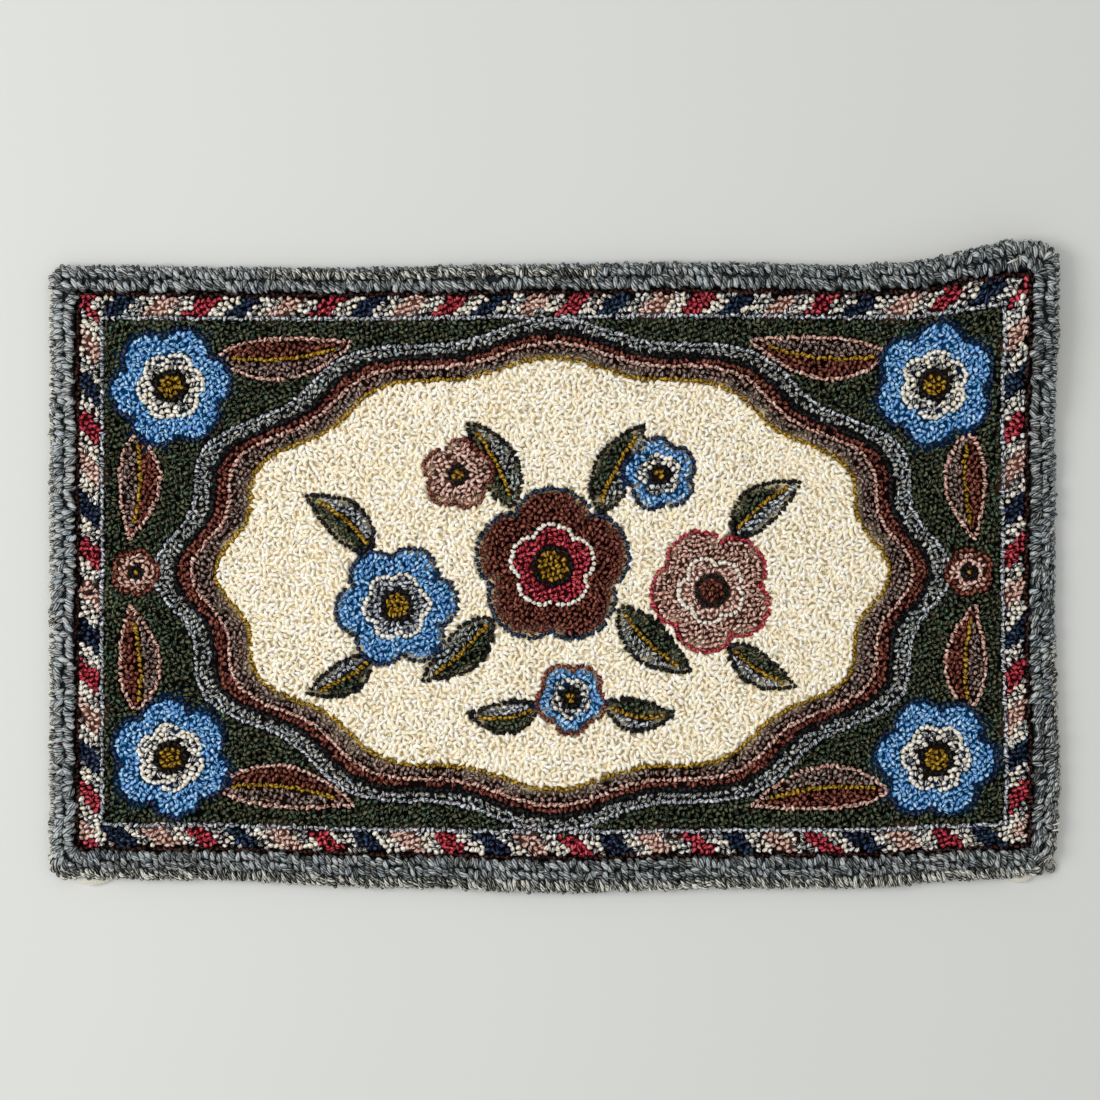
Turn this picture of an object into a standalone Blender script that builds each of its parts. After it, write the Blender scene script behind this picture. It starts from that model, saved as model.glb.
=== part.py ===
"""Hooked rug: a hemmed foundation cloth that carries a fine looped field, one low dark row round
it and a chunky looped border, lying face up with one corner humped up off the floor.

Metres. +X runs along the rug, +Y across it, +Z is up. The origin is on the floor, under the
middle of the rug's box.

The rug is laid out flat first, as a rounded rectangle in which a place is named by its inset,
its distance from the flat outline. Every point is then settled: moved to where the rug really
lies, with its bowed edges, its bulging corner and that corner's soft lift.
"""

import math
from collections import namedtuple

import bmesh
import bpy
from mathutils import Vector

# The rug laid out flat
LENGTH = 0.660
WIDTH = 0.404
CORNER_RADIUS = 0.012
WORN_CORNER_RADIUS = 0.019
SHARP_RADIUS = 0.001
GAP = 0.0003

# Foundation cloth, with its hem turned under all round
CLOTH_THICKNESS = 0.0015
HEM_THICKNESS = 0.0028
HEM_FOLD_INSET = 0.0028
HEM_END_INSET = 0.0205
HEM_SLOPE = 0.001

# Border, outline row and field, from the outside in
EDGE_ROW_WIDTH = 0.0055
BORDER_END_INSET = 0.0175
OUTLINE_END_INSET = 0.0205
EDGE_ROW_CREST = 0.0092
BORDER_CREST = 0.0112
OUTLINE_CREST = 0.0060
FIELD_CREST = 0.0080
FIELD_RIM_HEIGHT = 0.0068
FIELD_RIM_WIDTH = 0.003
FIELD_WAVE = 0.0004
FIELD_WAVE_LENGTH = 0.13
EDGE_ROW_GROOVE = 0.0042
BORDER_GROOVE = 0.0020
OUTLINE_GROOVE = 0.0012
RIB_STEPS = 4
RIB_FULLNESS = 0.6

# How the rug lies. Each edge row gives a place along the side and how far the edge lies outside
# the flat outline there.
EdgeShift = namedtuple("EdgeShift", "along out")
BOTTOM_EDGE = (
    EdgeShift(-0.330, -0.0032),
    EdgeShift(-0.235, -0.0028),
    EdgeShift(-0.100, 0.0026),
    EdgeShift(0.005, 0.0056),
    EdgeShift(0.110, 0.0032),
    EdgeShift(0.195, 0.0026),
    EdgeShift(0.290, -0.0036),
    EdgeShift(0.330, -0.0064),
)
TOP_EDGE = (
    EdgeShift(-0.330, -0.0008),
    EdgeShift(-0.150, -0.0022),
    EdgeShift(0.000, 0.0004),
    EdgeShift(0.095, 0.0016),
    EdgeShift(0.190, 0.0000),
    EdgeShift(0.225, 0.0012),
    EdgeShift(0.305, 0.0148),
    EdgeShift(0.330, 0.0112),
)
RIGHT_EDGE = (
    EdgeShift(-0.200, 0.0000),
    EdgeShift(-0.140, 0.0022),
    EdgeShift(-0.020, -0.0010),
    EdgeShift(0.080, -0.0006),
    EdgeShift(0.200, 0.0004),
)
EDGE_SHIFT_FADE = 3
BOTTOM_ROW_SPLAY = 0.0022

# The soft hump of the corner at +X, +Y. It swells along a diagonal towards the corner, is
# highest short of it, and turns down again at the tip.
LIFT_RISE = 0.0085
LIFT_REACH = 0.115
LIFT_TURN = 0.75
LIFT_DIRECTION = Vector((0.6, 0.8, 0.0))
SLOPE_STEP = 0.001

# Where the hem's fold has slipped out from under the bottom row
ClothSlip = namedtuple("ClothSlip", "along half_width out")
CLOTH_SLIPS = (
    ClothSlip(-0.302, 0.026, 0.0082),
    ClothSlip(0.307, 0.018, 0.0082),
)

# Spacing of the mesh lines, coarse where the rug is flat and fine where it lifts
FLAT_SPACING = 0.040
LIFT_SPACING = 0.011
LIFT_LINES_FROM_X = 0.150
LIFT_LINES_FROM_Y = 0.070
CORNER_STEPS = 4
LAST_LINE_INSET = 0.026
CORNER_LINE_SHARES = (0.0, 0.3, 0.65, 1.0)
SLIP_LINE_SHARES = (-0.6, 0.0, 0.6)

CREAM_CLOTH = (0.62, 0.56, 0.45)
MOSS_WOOL = (0.045, 0.050, 0.032)
BROWN_WOOL = (0.020, 0.012, 0.010)
SLATE_WOOL = (0.120, 0.135, 0.150)
MARLED_WOOL = (0.190, 0.190, 0.180)
WOOL_ROUGHNESS = 0.92
CLOTH_ROUGHNESS = 0.88
SHARP_ANGLE = math.radians(40)


def clear_scene():
    """Removes every object that is already in the file."""
    for leftover in list(bpy.data.objects):
        bpy.data.objects.remove(leftover, do_unlink=True)


def ease(share):
    """Goes smoothly from 0 to 1 as share goes from 0 to 1."""
    share = min(max(share, 0.0), 1.0)
    return share * share * (3.0 - 2.0 * share)


def edge_shift(rows, along):
    """How far an edge lies outside the flat outline, eased between the rows of its table."""
    if along <= rows[0].along:
        return rows[0].out
    for before, after in zip(rows, rows[1:]):
        if along <= after.along:
            share = (along - before.along) / (after.along - before.along)
            return before.out + (after.out - before.out) * ease(share)
    return rows[-1].out


def lift(x, y):
    """Height of the cloth's underside above the floor."""
    corner = Vector((LENGTH / 2, WIDTH / 2, 0.0))
    to_corner = (corner - Vector((x, y, 0.0))).dot(LIFT_DIRECTION)
    share = max(1.0 - to_corner / LIFT_REACH, 0.0)
    return LIFT_RISE * math.sin(math.pi * LIFT_TURN * share) ** 2


def lie(x, y):
    """Moves a place in the flat layout to where it lies, on the cloth's underside."""
    across = y / (WIDTH / 2)
    fade_top = max(across, 0.0) ** EDGE_SHIFT_FADE
    fade_bottom = max(-across, 0.0) ** EDGE_SHIFT_FADE
    fade_right = max(x / (LENGTH / 2), 0.0) ** EDGE_SHIFT_FADE
    shift_y = edge_shift(TOP_EDGE, x) * fade_top - edge_shift(BOTTOM_EDGE, x) * fade_bottom
    shift_x = edge_shift(RIGHT_EDGE, y) * fade_right
    depth = (y + WIDTH / 2) / EDGE_ROW_WIDTH
    shift_y -= BOTTOM_ROW_SPLAY * (1.0 - min(max(depth, 0.0), 1.0))
    return Vector((x + shift_x, y + shift_y, lift(x, y)))


def settle(x, y, height):
    """Moves a point of the flat layout, at a height over the cloth's underside, to its place."""
    slope_x = (lift(x + SLOPE_STEP, y) - lift(x - SLOPE_STEP, y)) / (2 * SLOPE_STEP)
    slope_y = (lift(x, y + SLOPE_STEP) - lift(x, y - SLOPE_STEP)) / (2 * SLOPE_STEP)
    away = Vector((-slope_x, -slope_y, 1.0)).normalized()
    return lie(x, y) + away * height


def spaced(start, end, spacing):
    """Evenly spaced values from start to end, both included, no further apart than spacing."""
    steps = max(1, math.ceil((end - start) / spacing))
    return [start + (end - start) * step / steps for step in range(steps + 1)]


def inner_lines(half, lift_from):
    """Mesh lines shared by all pieces, between the last lines of the two opposite borders."""
    last = half - LAST_LINE_INSET
    return spaced(-last, lift_from, FLAT_SPACING) + spaced(lift_from, last, LIFT_SPACING)[1:]


def corner_radius_at(side_x, side_y, inset):
    """Radius of a corner at an inset from the outline. The one at +X, -Y is the most worn."""
    worn = side_x > 0 and side_y < 0
    radius = WORN_CORNER_RADIUS if worn else CORNER_RADIUS
    return max(radius - inset, SHARP_RADIUS)


def loop_at(inset):
    """Points of the rounded rectangle at an inset, counter-clockwise from the left bottom."""
    half_x = LENGTH / 2 - inset
    half_y = WIDTH / 2 - inset
    lines_x = inner_lines(LENGTH / 2, LIFT_LINES_FROM_X)
    lines_y = inner_lines(WIDTH / 2, LIFT_LINES_FROM_Y)
    sides = (
        ([(x, -half_y) for x in lines_x], 1, -1, -90),
        ([(half_x, y) for y in lines_y], 1, 1, 0),
        ([(x, half_y) for x in reversed(lines_x)], -1, 1, 90),
        ([(-half_x, y) for y in reversed(lines_y)], -1, -1, 180),
    )
    points = []
    for side_points, side_x, side_y, start in sides:
        points += side_points
        radius = corner_radius_at(side_x, side_y, inset)
        for step in range(CORNER_STEPS + 1):
            angle = math.radians(start + 90 * step / CORNER_STEPS)
            x = side_x * (half_x - radius) + radius * math.cos(angle)
            y = side_y * (half_y - radius) + radius * math.sin(angle)
            points.append((x, y))
    return points


def rows_section(outer, inner, foot, crest, groove, rows):
    """Section of one or more rows of loops side by side: a flat foot under rounded ribs.

    Each point is an inset and a height over the cloth's underside.
    """
    steps = RIB_STEPS * rows
    width = inner - outer
    section = [(inner - width * row / rows, foot) for row in range(1, rows + 1)]
    for step in range(steps + 1):
        share = step / steps
        rib = abs(math.sin(math.pi * rows * share)) ** RIB_FULLNESS
        inset = outer + width * share
        section.append((inset, crest - groove * (1.0 - rib)))
    section.append((inner, foot))
    return section


def make_object(name, shape, colour, roughness):
    """Turns a bmesh into a named object with its own material."""
    bmesh.ops.recalc_face_normals(shape, faces=shape.faces)
    bmesh.ops.triangulate(shape, faces=shape.faces, quad_method="FIXED")
    mesh = bpy.data.meshes.new(name)
    shape.to_mesh(mesh)
    shape.free()
    mesh.shade_smooth()
    mesh.set_sharp_from_angle(angle=SHARP_ANGLE)
    material = bpy.data.materials.new(name)
    material.use_nodes = True
    surface = material.node_tree.nodes["Principled BSDF"]
    surface.inputs["Base Color"].default_value = (*colour, 1.0)
    surface.inputs["Roughness"].default_value = roughness
    surface.inputs["Metallic"].default_value = 0.0
    mesh.materials.append(material)
    made = bpy.data.objects.new(name, mesh)
    bpy.context.collection.objects.link(made)
    return made


def ring_of_rows(name, section, colour):
    """Sweeps a section of loop rows round the rug, parallel to its outline."""
    shape = bmesh.new()
    rings = []
    for inset, height in section:
        ring = []
        for x, y in loop_at(inset):
            ring.append(shape.verts.new(settle(x, y, height)))
        rings.append(ring)
    stations = len(rings[0])
    for place, ring in enumerate(rings):
        next_ring = rings[(place + 1) % len(rings)]
        for station in range(stations):
            following = (station + 1) % stations
            shape.faces.new((ring[station], ring[following], next_ring[following], next_ring[station]))
    return make_object(name, shape, colour, WOOL_ROUGHNESS)


def round_corner(x, y, half_x, half_y, radius):
    """Draws a square corner of side radius in to a round one."""
    over_x = abs(x) - (half_x - radius)
    over_y = abs(y) - (half_y - radius)
    if over_x <= 0.0 or over_y <= 0.0:
        return x, y
    share_x = over_x / radius
    share_y = over_y / radius
    over_x *= math.sqrt(1.0 - share_y * share_y / 2)
    over_y *= math.sqrt(1.0 - share_x * share_x / 2)
    round_x = math.copysign(half_x - radius + over_x, x)
    round_y = math.copysign(half_y - radius + over_y, y)
    return round_x, round_y


def sheet_lines(half, lift_from, insets, extra):
    """Mesh lines of a sheet: its rim lines, given as insets, the shared lines and extra ones."""
    rim = [half - inset for inset in insets]
    lines = rim + [-line for line in rim] + inner_lines(half, lift_from) + extra
    return sorted(lines)


def sheet(name, rim_insets, top, bottom, extra_lines, slip, colour, roughness):
    """A closed sheet on a grid of lines. Top and bottom give its two heights at a place."""
    lines_x = sheet_lines(LENGTH / 2, LIFT_LINES_FROM_X, rim_insets, extra_lines)
    lines_y = sheet_lines(WIDTH / 2, LIFT_LINES_FROM_Y, rim_insets, [])
    half_x = LENGTH / 2 - rim_insets[0]
    half_y = WIDTH / 2 - rim_insets[0]
    shape = bmesh.new()
    under = {}
    over = {}
    for column, line_x in enumerate(lines_x):
        for row, line_y in enumerate(lines_y):
            radius = corner_radius_at(line_x, line_y, rim_insets[0])
            x, y = round_corner(line_x, line_y, half_x, half_y, radius)
            inset = min(LENGTH / 2 - abs(line_x), WIDTH / 2 - abs(line_y))
            slide = Vector((0.0, 0.0, 0.0))
            if row == 0:
                slide.y = -slip(x)
            under[column, row] = shape.verts.new(settle(x, y, bottom(x, y, inset)) + slide)
            over[column, row] = shape.verts.new(settle(x, y, top(x, y, inset)) + slide)
    last_column = len(lines_x) - 1
    last_row = len(lines_y) - 1
    for column in range(last_column):
        for row in range(last_row):
            corners = ((column, row), (column + 1, row), (column + 1, row + 1), (column, row + 1))
            shape.faces.new([over[corner] for corner in corners])
            shape.faces.new([under[corner] for corner in corners[:1] + corners[:0:-1]])
    rim = [(column, 0) for column in range(last_column)]
    rim += [(last_column, row) for row in range(last_row)]
    rim += [(column, last_row) for column in range(last_column, 0, -1)]
    rim += [(0, row) for row in range(last_row, 0, -1)]
    for here, following in zip(rim, rim[1:] + rim[:1]):
        shape.faces.new((under[here], under[following], over[following], over[here]))
    return make_object(name, shape, colour, roughness)


def floor_side(x, y, inset):
    """The cloth's underside, which rests on the floor."""
    return 0.0


def cloth_top(x, y, inset):
    """The cloth's face: two layers thick over the hem, and one inside it."""
    hem_share = ease((HEM_END_INSET - inset) / HEM_SLOPE)
    return CLOTH_THICKNESS + (HEM_THICKNESS - CLOTH_THICKNESS) * hem_share


def field_foot(x, y, inset):
    """The foot of the field's pile, just over the cloth."""
    return CLOTH_THICKNESS + GAP


def field_top(x, y, inset):
    """The tops of the field's loops: level, with a faint wave, rounding down at the rim."""
    into_field = (inset - OUTLINE_END_INSET - GAP) / FIELD_RIM_WIDTH
    turn = 2 * math.pi / FIELD_WAVE_LENGTH
    wave = FIELD_WAVE * math.sin(turn * x) * math.cos(turn * y)
    level = FIELD_CREST + wave
    return FIELD_RIM_HEIGHT + (level - FIELD_RIM_HEIGHT) * ease(into_field)


def cloth_slip(x):
    """How far the hem's fold has slipped out past its usual place, along the bottom edge."""
    out = 0.0
    for slip in CLOTH_SLIPS:
        out += slip.out * ease(1.0 - abs(x - slip.along) / slip.half_width)
    return out


def no_slip(x):
    """A rim that lies in its usual place all along."""
    return 0.0


def make_foundation():
    """The woven cloth that everything is hooked through, hem and all."""
    corner_width = CORNER_RADIUS - HEM_FOLD_INSET
    corner_insets = [HEM_FOLD_INSET + corner_width * share for share in CORNER_LINE_SHARES]
    hem_insets = [HEM_END_INSET - HEM_SLOPE, HEM_END_INSET]
    slip_lines = []
    for slip in CLOTH_SLIPS:
        slip_lines += [slip.along + slip.half_width * side for side in SLIP_LINE_SHARES]
    return sheet("foundation", corner_insets + hem_insets, cloth_top, floor_side, slip_lines,
                 cloth_slip, CREAM_CLOTH, CLOTH_ROUGHNESS)


def make_field_pile():
    """The fine pile of the field, a closed slab that follows the cloth."""
    start = OUTLINE_END_INSET + GAP
    return sheet("field_pile", [start, start + FIELD_RIM_WIDTH], field_top, field_foot, [],
                 no_slip, MOSS_WOOL, WOOL_ROUGHNESS)


def make_rows():
    """The outline row, the two border rows and the edge row, each a ring round the rug."""
    foot = HEM_THICKNESS + GAP
    edge = rows_section(0.0, EDGE_ROW_WIDTH, foot, EDGE_ROW_CREST, EDGE_ROW_GROOVE, 1)
    border = rows_section(EDGE_ROW_WIDTH + GAP, BORDER_END_INSET, foot, BORDER_CREST,
                          BORDER_GROOVE, 2)
    outline = rows_section(BORDER_END_INSET + GAP, OUTLINE_END_INSET, foot, OUTLINE_CREST,
                           OUTLINE_GROOVE, 1)
    ring_of_rows("edge_row", edge, MARLED_WOOL)
    ring_of_rows("border_pile", border, SLATE_WOOL)
    ring_of_rows("outline_row", outline, BROWN_WOOL)


def centre_on_origin():
    """Slides every piece so that the origin is under the middle of the rug's box."""
    pieces = [piece for piece in bpy.data.objects if piece.type == "MESH"]
    corners = [vertex.co for piece in pieces for vertex in piece.data.vertices]
    middle_x = (min(point.x for point in corners) + max(point.x for point in corners)) / 2
    middle_y = (min(point.y for point in corners) + max(point.y for point in corners)) / 2
    for piece in pieces:
        for vertex in piece.data.vertices:
            vertex.co -= Vector((middle_x, middle_y, 0.0))


clear_scene()
make_foundation()
make_field_pile()
make_rows()
centre_on_origin()
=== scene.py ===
# %% [markdown]
# A hooked rug, loop by loop
#
# A hooked rug is a piece of plain cloth with yarn pulled up through it in thousands of small
# loops. From a step away they melt into flat areas of colour, but up close it is all loops. A
# bump map can fake that from straight above only, so here every loop is a real arch of yarn.
#
# The packed rug comes in first. It says where the cloth lies and how high each row of pile
# stands.

# %% Load the packed rug
import math
from collections import namedtuple

import bmesh
import bpy
import numpy as np
from mathutils import Matrix, Vector, kdtree


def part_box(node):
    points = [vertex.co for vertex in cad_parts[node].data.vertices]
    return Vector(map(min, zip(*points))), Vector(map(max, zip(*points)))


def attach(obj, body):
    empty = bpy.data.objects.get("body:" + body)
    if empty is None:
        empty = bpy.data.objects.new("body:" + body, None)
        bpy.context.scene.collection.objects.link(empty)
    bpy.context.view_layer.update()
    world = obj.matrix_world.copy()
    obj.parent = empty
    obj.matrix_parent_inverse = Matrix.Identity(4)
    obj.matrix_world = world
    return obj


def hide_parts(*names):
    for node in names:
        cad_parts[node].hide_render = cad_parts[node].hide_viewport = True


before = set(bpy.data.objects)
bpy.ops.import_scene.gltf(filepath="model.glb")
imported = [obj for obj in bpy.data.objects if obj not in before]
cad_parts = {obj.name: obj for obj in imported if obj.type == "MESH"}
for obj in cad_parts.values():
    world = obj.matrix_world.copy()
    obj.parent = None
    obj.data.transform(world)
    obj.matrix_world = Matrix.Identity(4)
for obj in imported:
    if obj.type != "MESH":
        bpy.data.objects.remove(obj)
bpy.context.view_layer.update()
rng = np.random.default_rng(7)
print("packed nodes:", sorted(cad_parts))

# %% [markdown]
# How the rug lies
#
# A maker draws the pattern on cloth that is pinned out flat and square. Only later does the rug
# settle on a floor, with one long edge bowed, one corner humped up and its edges a little
# uneven. The same order works here: everything is laid out flat, where sums are easy, and one
# function then moves any point to where it really lies.
#
# Each edge is a short table of how far it lies outside the flat outline, eased from row to row.
# A place's inset is its distance in from the flat outline.

# %% The flat layout and its wandering edges
LENGTH = 0.660
WIDTH = 0.404
FIELD_INSET = 0.0208

EdgeShift = namedtuple("EdgeShift", "along out")
BOTTOM_EDGE = (
    EdgeShift(-0.330, -0.0032),
    EdgeShift(-0.235, -0.0028),
    EdgeShift(-0.100, 0.0026),
    EdgeShift(0.005, 0.0056),
    EdgeShift(0.110, 0.0032),
    EdgeShift(0.195, 0.0026),
    EdgeShift(0.290, -0.0036),
    EdgeShift(0.330, -0.0064),
)
TOP_EDGE = (
    EdgeShift(-0.330, -0.0008),
    EdgeShift(-0.150, -0.0022),
    EdgeShift(0.000, 0.0004),
    EdgeShift(0.095, 0.0016),
    EdgeShift(0.190, 0.0000),
    EdgeShift(0.225, 0.0012),
    EdgeShift(0.305, 0.0148),
    EdgeShift(0.330, 0.0112),
)
RIGHT_EDGE = (
    EdgeShift(-0.200, 0.0000),
    EdgeShift(-0.140, 0.0022),
    EdgeShift(-0.020, -0.0010),
    EdgeShift(0.080, -0.0006),
    EdgeShift(0.200, 0.0004),
)


def ease(share):
    """Goes smoothly from 0 to 1 as share goes from 0 to 1."""
    share = np.clip(share, 0.0, 1.0)
    return share * share * (3.0 - 2.0 * share)


def edge_shift(rows, along):
    """How far an edge lies outside the flat outline, eased between the rows of its table."""
    places = np.array([row.along for row in rows])
    outs = np.array([row.out for row in rows])
    before = np.clip(np.searchsorted(places, along) - 1, 0, len(rows) - 2)
    share = (along - places[before]) / (places[before + 1] - places[before])
    return outs[before] + (outs[before + 1] - outs[before]) * ease(share)


print("flat size in m:", LENGTH, "by", WIDTH)
print("the bottom edge bows out by", round(max(row.out for row in BOTTOM_EDGE) * 1000, 1), "mm")

# %% Lay the flat rug down, with its humped corner and its worn one
CORNER_RADIUS = 0.012
WORN_CORNER_RADIUS = 0.019
SHARP_RADIUS = 0.001
EDGE_ROW_WIDTH = 0.0055
BOTTOM_ROW_SPLAY = 0.0022
EDGE_SHIFT_FADE = 3
LIFT_RISE = 0.0085
LIFT_REACH = 0.115
LIFT_TURN = 0.75
LIFT_DIRECTION = (0.6, 0.8)


def corner_radius(side_x, side_y, inset):
    """How round each corner is at an inset. The right bottom one is the most worn."""
    worn = (side_x > 0) & (side_y < 0)
    return np.maximum(np.where(worn, WORN_CORNER_RADIUS, CORNER_RADIUS) - inset, SHARP_RADIUS)


def lift(x, y):
    """Height of the cloth's underside above the floor."""
    to_corner = (LENGTH / 2 - x) * LIFT_DIRECTION[0] + (WIDTH / 2 - y) * LIFT_DIRECTION[1]
    share = np.maximum(1.0 - to_corner / LIFT_REACH, 0.0)
    return LIFT_RISE * np.sin(np.pi * LIFT_TURN * share) ** 2


def lie(x, y):
    """Moves places of the flat layout to where they lie, on the cloth's underside."""
    fade_top = np.maximum(y / (WIDTH / 2), 0.0) ** EDGE_SHIFT_FADE
    fade_bottom = np.maximum(-y / (WIDTH / 2), 0.0) ** EDGE_SHIFT_FADE
    fade_right = np.maximum(x / (LENGTH / 2), 0.0) ** EDGE_SHIFT_FADE
    depth = np.clip((y + WIDTH / 2) / EDGE_ROW_WIDTH, 0.0, 1.0)
    shift_x = edge_shift(RIGHT_EDGE, y) * fade_right
    shift_y = edge_shift(TOP_EDGE, x) * fade_top - edge_shift(BOTTOM_EDGE, x) * fade_bottom
    shift_y = shift_y - BOTTOM_ROW_SPLAY * (1.0 - depth)
    return np.stack((x + shift_x, y + shift_y, lift(x, y)), axis=-1)


print("the humped corner lies", round(float(lift(LENGTH / 2, WIDTH / 2)) * 1000, 1), "mm up")

# %% Stand the pile on the cloth, and centre the rug
SLOPE_STEP = 0.001
EDGE_SAMPLES = 401


def away(x, y):
    """The direction in which the pile stands, square to the cloth."""
    slope_x = (lift(x + SLOPE_STEP, y) - lift(x - SLOPE_STEP, y)) / (2 * SLOPE_STEP)
    slope_y = (lift(x, y + SLOPE_STEP) - lift(x, y - SLOPE_STEP)) / (2 * SLOPE_STEP)
    steep = np.sqrt(slope_x ** 2 + slope_y ** 2 + 1.0)
    return np.stack((-slope_x / steep, -slope_y / steep, 1.0 / steep), axis=-1)


field_low, field_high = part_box("field_pile")
edge_line = np.linspace(-LENGTH / 2, LENGTH / 2, EDGE_SAMPLES)
field_edge = lie(edge_line, np.full_like(edge_line, FIELD_INSET - WIDTH / 2))
middle_x = FIELD_INSET - LENGTH / 2 - field_low.x
middle_y = field_edge[:, 1].min() - field_low.y
MIDDLE = np.array([middle_x, middle_y, 0.0])


def settle(x, y, height):
    """Moves points of the flat layout, at a height over the cloth's underside, to their places."""
    return lie(x, y) - MIDDLE + away(x, y) * np.asarray(height)[..., None]


print("middle of the laid rug, in the flat layout, in mm:", np.round(MIDDLE * 1000, 2))
print("the field pile's box is", round((field_high.z - field_low.z) * 1000, 1), "mm deep")

# %% [markdown]
# The yarns
#
# Wool for hooking is dyed in the hank, so it is never one flat colour. Each yarn here has a
# dark, a middle and a light tone, a few odd fibres of another colour, its flecks, and another
# hue that some of its loops drift to. A marled yarn twists a dark strand with a light one.
# Curly yarn lies every way, and tightly spun yarn stays in its rows, so each yarn also says how
# much its loops turn, and how closely it is hooked.

# %% Name the yarns
# Each dark tone is partly the yarn's darkest fibres and partly painted shade: the wool turns to it
# at the feet and sides of its loops, and the bed under the loops takes it too
Yarn = namedtuple("Yarn", "dark middle light fleck other flecked marl "
                          "length width curl slant spacing")
YARNS = {
    "moss": Yarn("#030501", "#2a2e20", "#74795c", "#4d4335", "#32473a",
                 0.22, 0.3, 1.00, 1.02, 0.9, 20, 1.0),
    "cream": Yarn("#fbe8ba", "#fffaec", "#ffffff", "#eedfb8", "#f5e6c6",
                  0.15, 0.1, 1.50, 1.04, 1.5, -8, 0.88),
    "brown": Yarn("#150b07", "#6a5850", "#c2ada3", "#3c3436", "#76564c",
                  0.22, 0.2, 0.98, 1.02, 0.8, 62, 1.0),
    "sky": Yarn("#033a66", "#56a2d8", "#dcf0ff", "#3f86c8", "#669fe6",
                0.12, 0.2, 1.04, 1.06, 0.8, 35, 1.0),
    "grey": Yarn("#161516", "#7c7b75", "#dcdbd3", "#4d4c49", "#6b777c",
                 0.20, 0.8, 1.00, 0.96, 0.8, 12, 1.0),
    "mist": Yarn("#202226", "#8f9296", "#eef0f2", "#6a6d72", "#8c9096",
                 0.15, 0.8, 1.02, 0.96, 0.7, 8, 1.0),
    "maroon": Yarn("#140302", "#683229", "#a86a5c", "#3f1813", "#6c3c2c",
                   0.20, 0.2, 1.00, 1.04, 0.8, 52, 1.0),
    "rose": Yarn("#3c2218", "#c69785", "#ffe4d8", "#96685a", "#c29080",
                 0.15, 0.3, 1.05, 0.94, 0.7, 12, 1.0),
    "blush": Yarn("#6a4337", "#deb2a2", "#ffeae1", "#c9978a", "#dcb4a2",
                  0.15, 0.3, 1.05, 0.94, 0.7, 12, 1.0),
    "ochre": Yarn("#2b1902", "#8f6b1a", "#d9b14a", "#6d4a10", "#86681c",
                  0.20, 0.1, 1.00, 1.02, 0.7, 12, 1.0),
    "navy": Yarn("#040509", "#1a2138", "#4c597c", "#12172a", "#26404f",
                 0.20, 0.2, 1.00, 1.00, 0.7, 12, 1.0),
    "crimson": Yarn("#35070c", "#a12733", "#ee7179", "#7d1a24", "#ac3348",
                    0.18, 0.2, 1.00, 1.00, 0.7, 12, 1.0),
    "black": Yarn("#010101", "#121212", "#3c3b3b", "#1c1c1e", "#191c20",
                  0.15, 0.1, 1.00, 1.00, 0.7, 12, 1.0),
    "tweed": Yarn("#140d0e", "#87807c", "#fbf8f2", "#6f7876", "#969b98",
                  0.25, 1.1, 1.00, 1.02, 0.9, 12, 1.0),
    "white": Yarn("#b5a68a", "#f4eddf", "#ffffff", "#e4d9c2", "#efe5d0",
                  0.10, 0.1, 1.00, 1.08, 0.6, 12, 1.0),
}
BORDER_YARN = Yarn("#080a0b", "#585c5b", "#c0c3c1", "#3b4448", "#6b7276",
                   0.20, 0.9, 1.0, 1.0, 0.34, 0, 1.0)
EDGE_YARN = Yarn("#070807", "#4e4f4b", "#dcd9ce", "#33373a", "#73736c",
                 0.20, 1.3, 1.0, 1.0, 0.30, 0, 1.0)
OUTLINE_YARN = Yarn("#020101", "#22110e", "#5c3d35", "#1a0d0a", "#2e1815",
                    0.20, 0.2, 1.0, 1.0, 0.3, 0, 1.0)
YARN_NAMES = list(YARNS)
YARN_NUMBER = {name: number for number, name in enumerate(YARN_NAMES)}
print(len(YARNS), "yarns for the field and three for the rows round it")

# %% [markdown]
# The pattern
#
# Old hooked rugs often have a wavy oval with a bouquet in it, a flower in each corner, and a
# rope of slanted stripes round the edge. Each of these is a short formula here: an oval whose
# size swells and shrinks with the angle, a flower whose edge dips between its petals, a leaf
# that is a bent lens. The tables say where each one goes and which yarns it takes.

# %% The wavy oval and the rope of stripes
FIELD_HALF_X = LENGTH / 2 - FIELD_INSET
FIELD_HALF_Y = WIDTH / 2 - FIELD_INSET
OVAL_HALF_X = 0.214
OVAL_HALF_Y = 0.136
OVAL_LOBES = 12
OVAL_WAVE = 0.032
ROPE_WIDTH = 0.0125
ROPE_STRIPE = 0.0135
ROPE_SLANT = 1.0
ROPE_YARNS = ("tweed", "crimson", "tweed", "navy", "tweed", "blush")

Band = namedtuple("Band", "share yarn")
OVAL_BANDS = (
    Band(1.18, "grey"),
    Band(1.12, "maroon"),
    Band(1.07, "brown"),
    Band(1.00, "cream"),
)


def oval_edge(angle):
    """The wavy oval's edge, as a share of the plain oval's."""
    return 1.0 + OVAL_WAVE * np.cos(OVAL_LOBES * angle)


def oval_share(x, y):
    """Distance from the middle, as a share of the way to the wavy oval's edge."""
    angle = np.arctan2(y / OVAL_HALF_Y, x / OVAL_HALF_X)
    return np.hypot(x / OVAL_HALF_X, y / OVAL_HALF_Y) / oval_edge(angle)


def rim_depth(x, y):
    """Distance in from the edge of the field."""
    return np.minimum(FIELD_HALF_X - np.abs(x), FIELD_HALF_Y - np.abs(y))


def rope_yarn(x, y):
    """The yarn of each slanted stripe of the rope round the field."""
    beside_x = FIELD_HALF_X - np.abs(x) < FIELD_HALF_Y - np.abs(y)
    along = np.where(beside_x, y, x)
    stripe = np.floor((along + ROPE_SLANT * rim_depth(x, y)) / ROPE_STRIPE).astype(int)
    stripes = np.array([YARN_NUMBER[name] for name in ROPE_YARNS])
    return stripes[stripe % len(stripes)]


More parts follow.
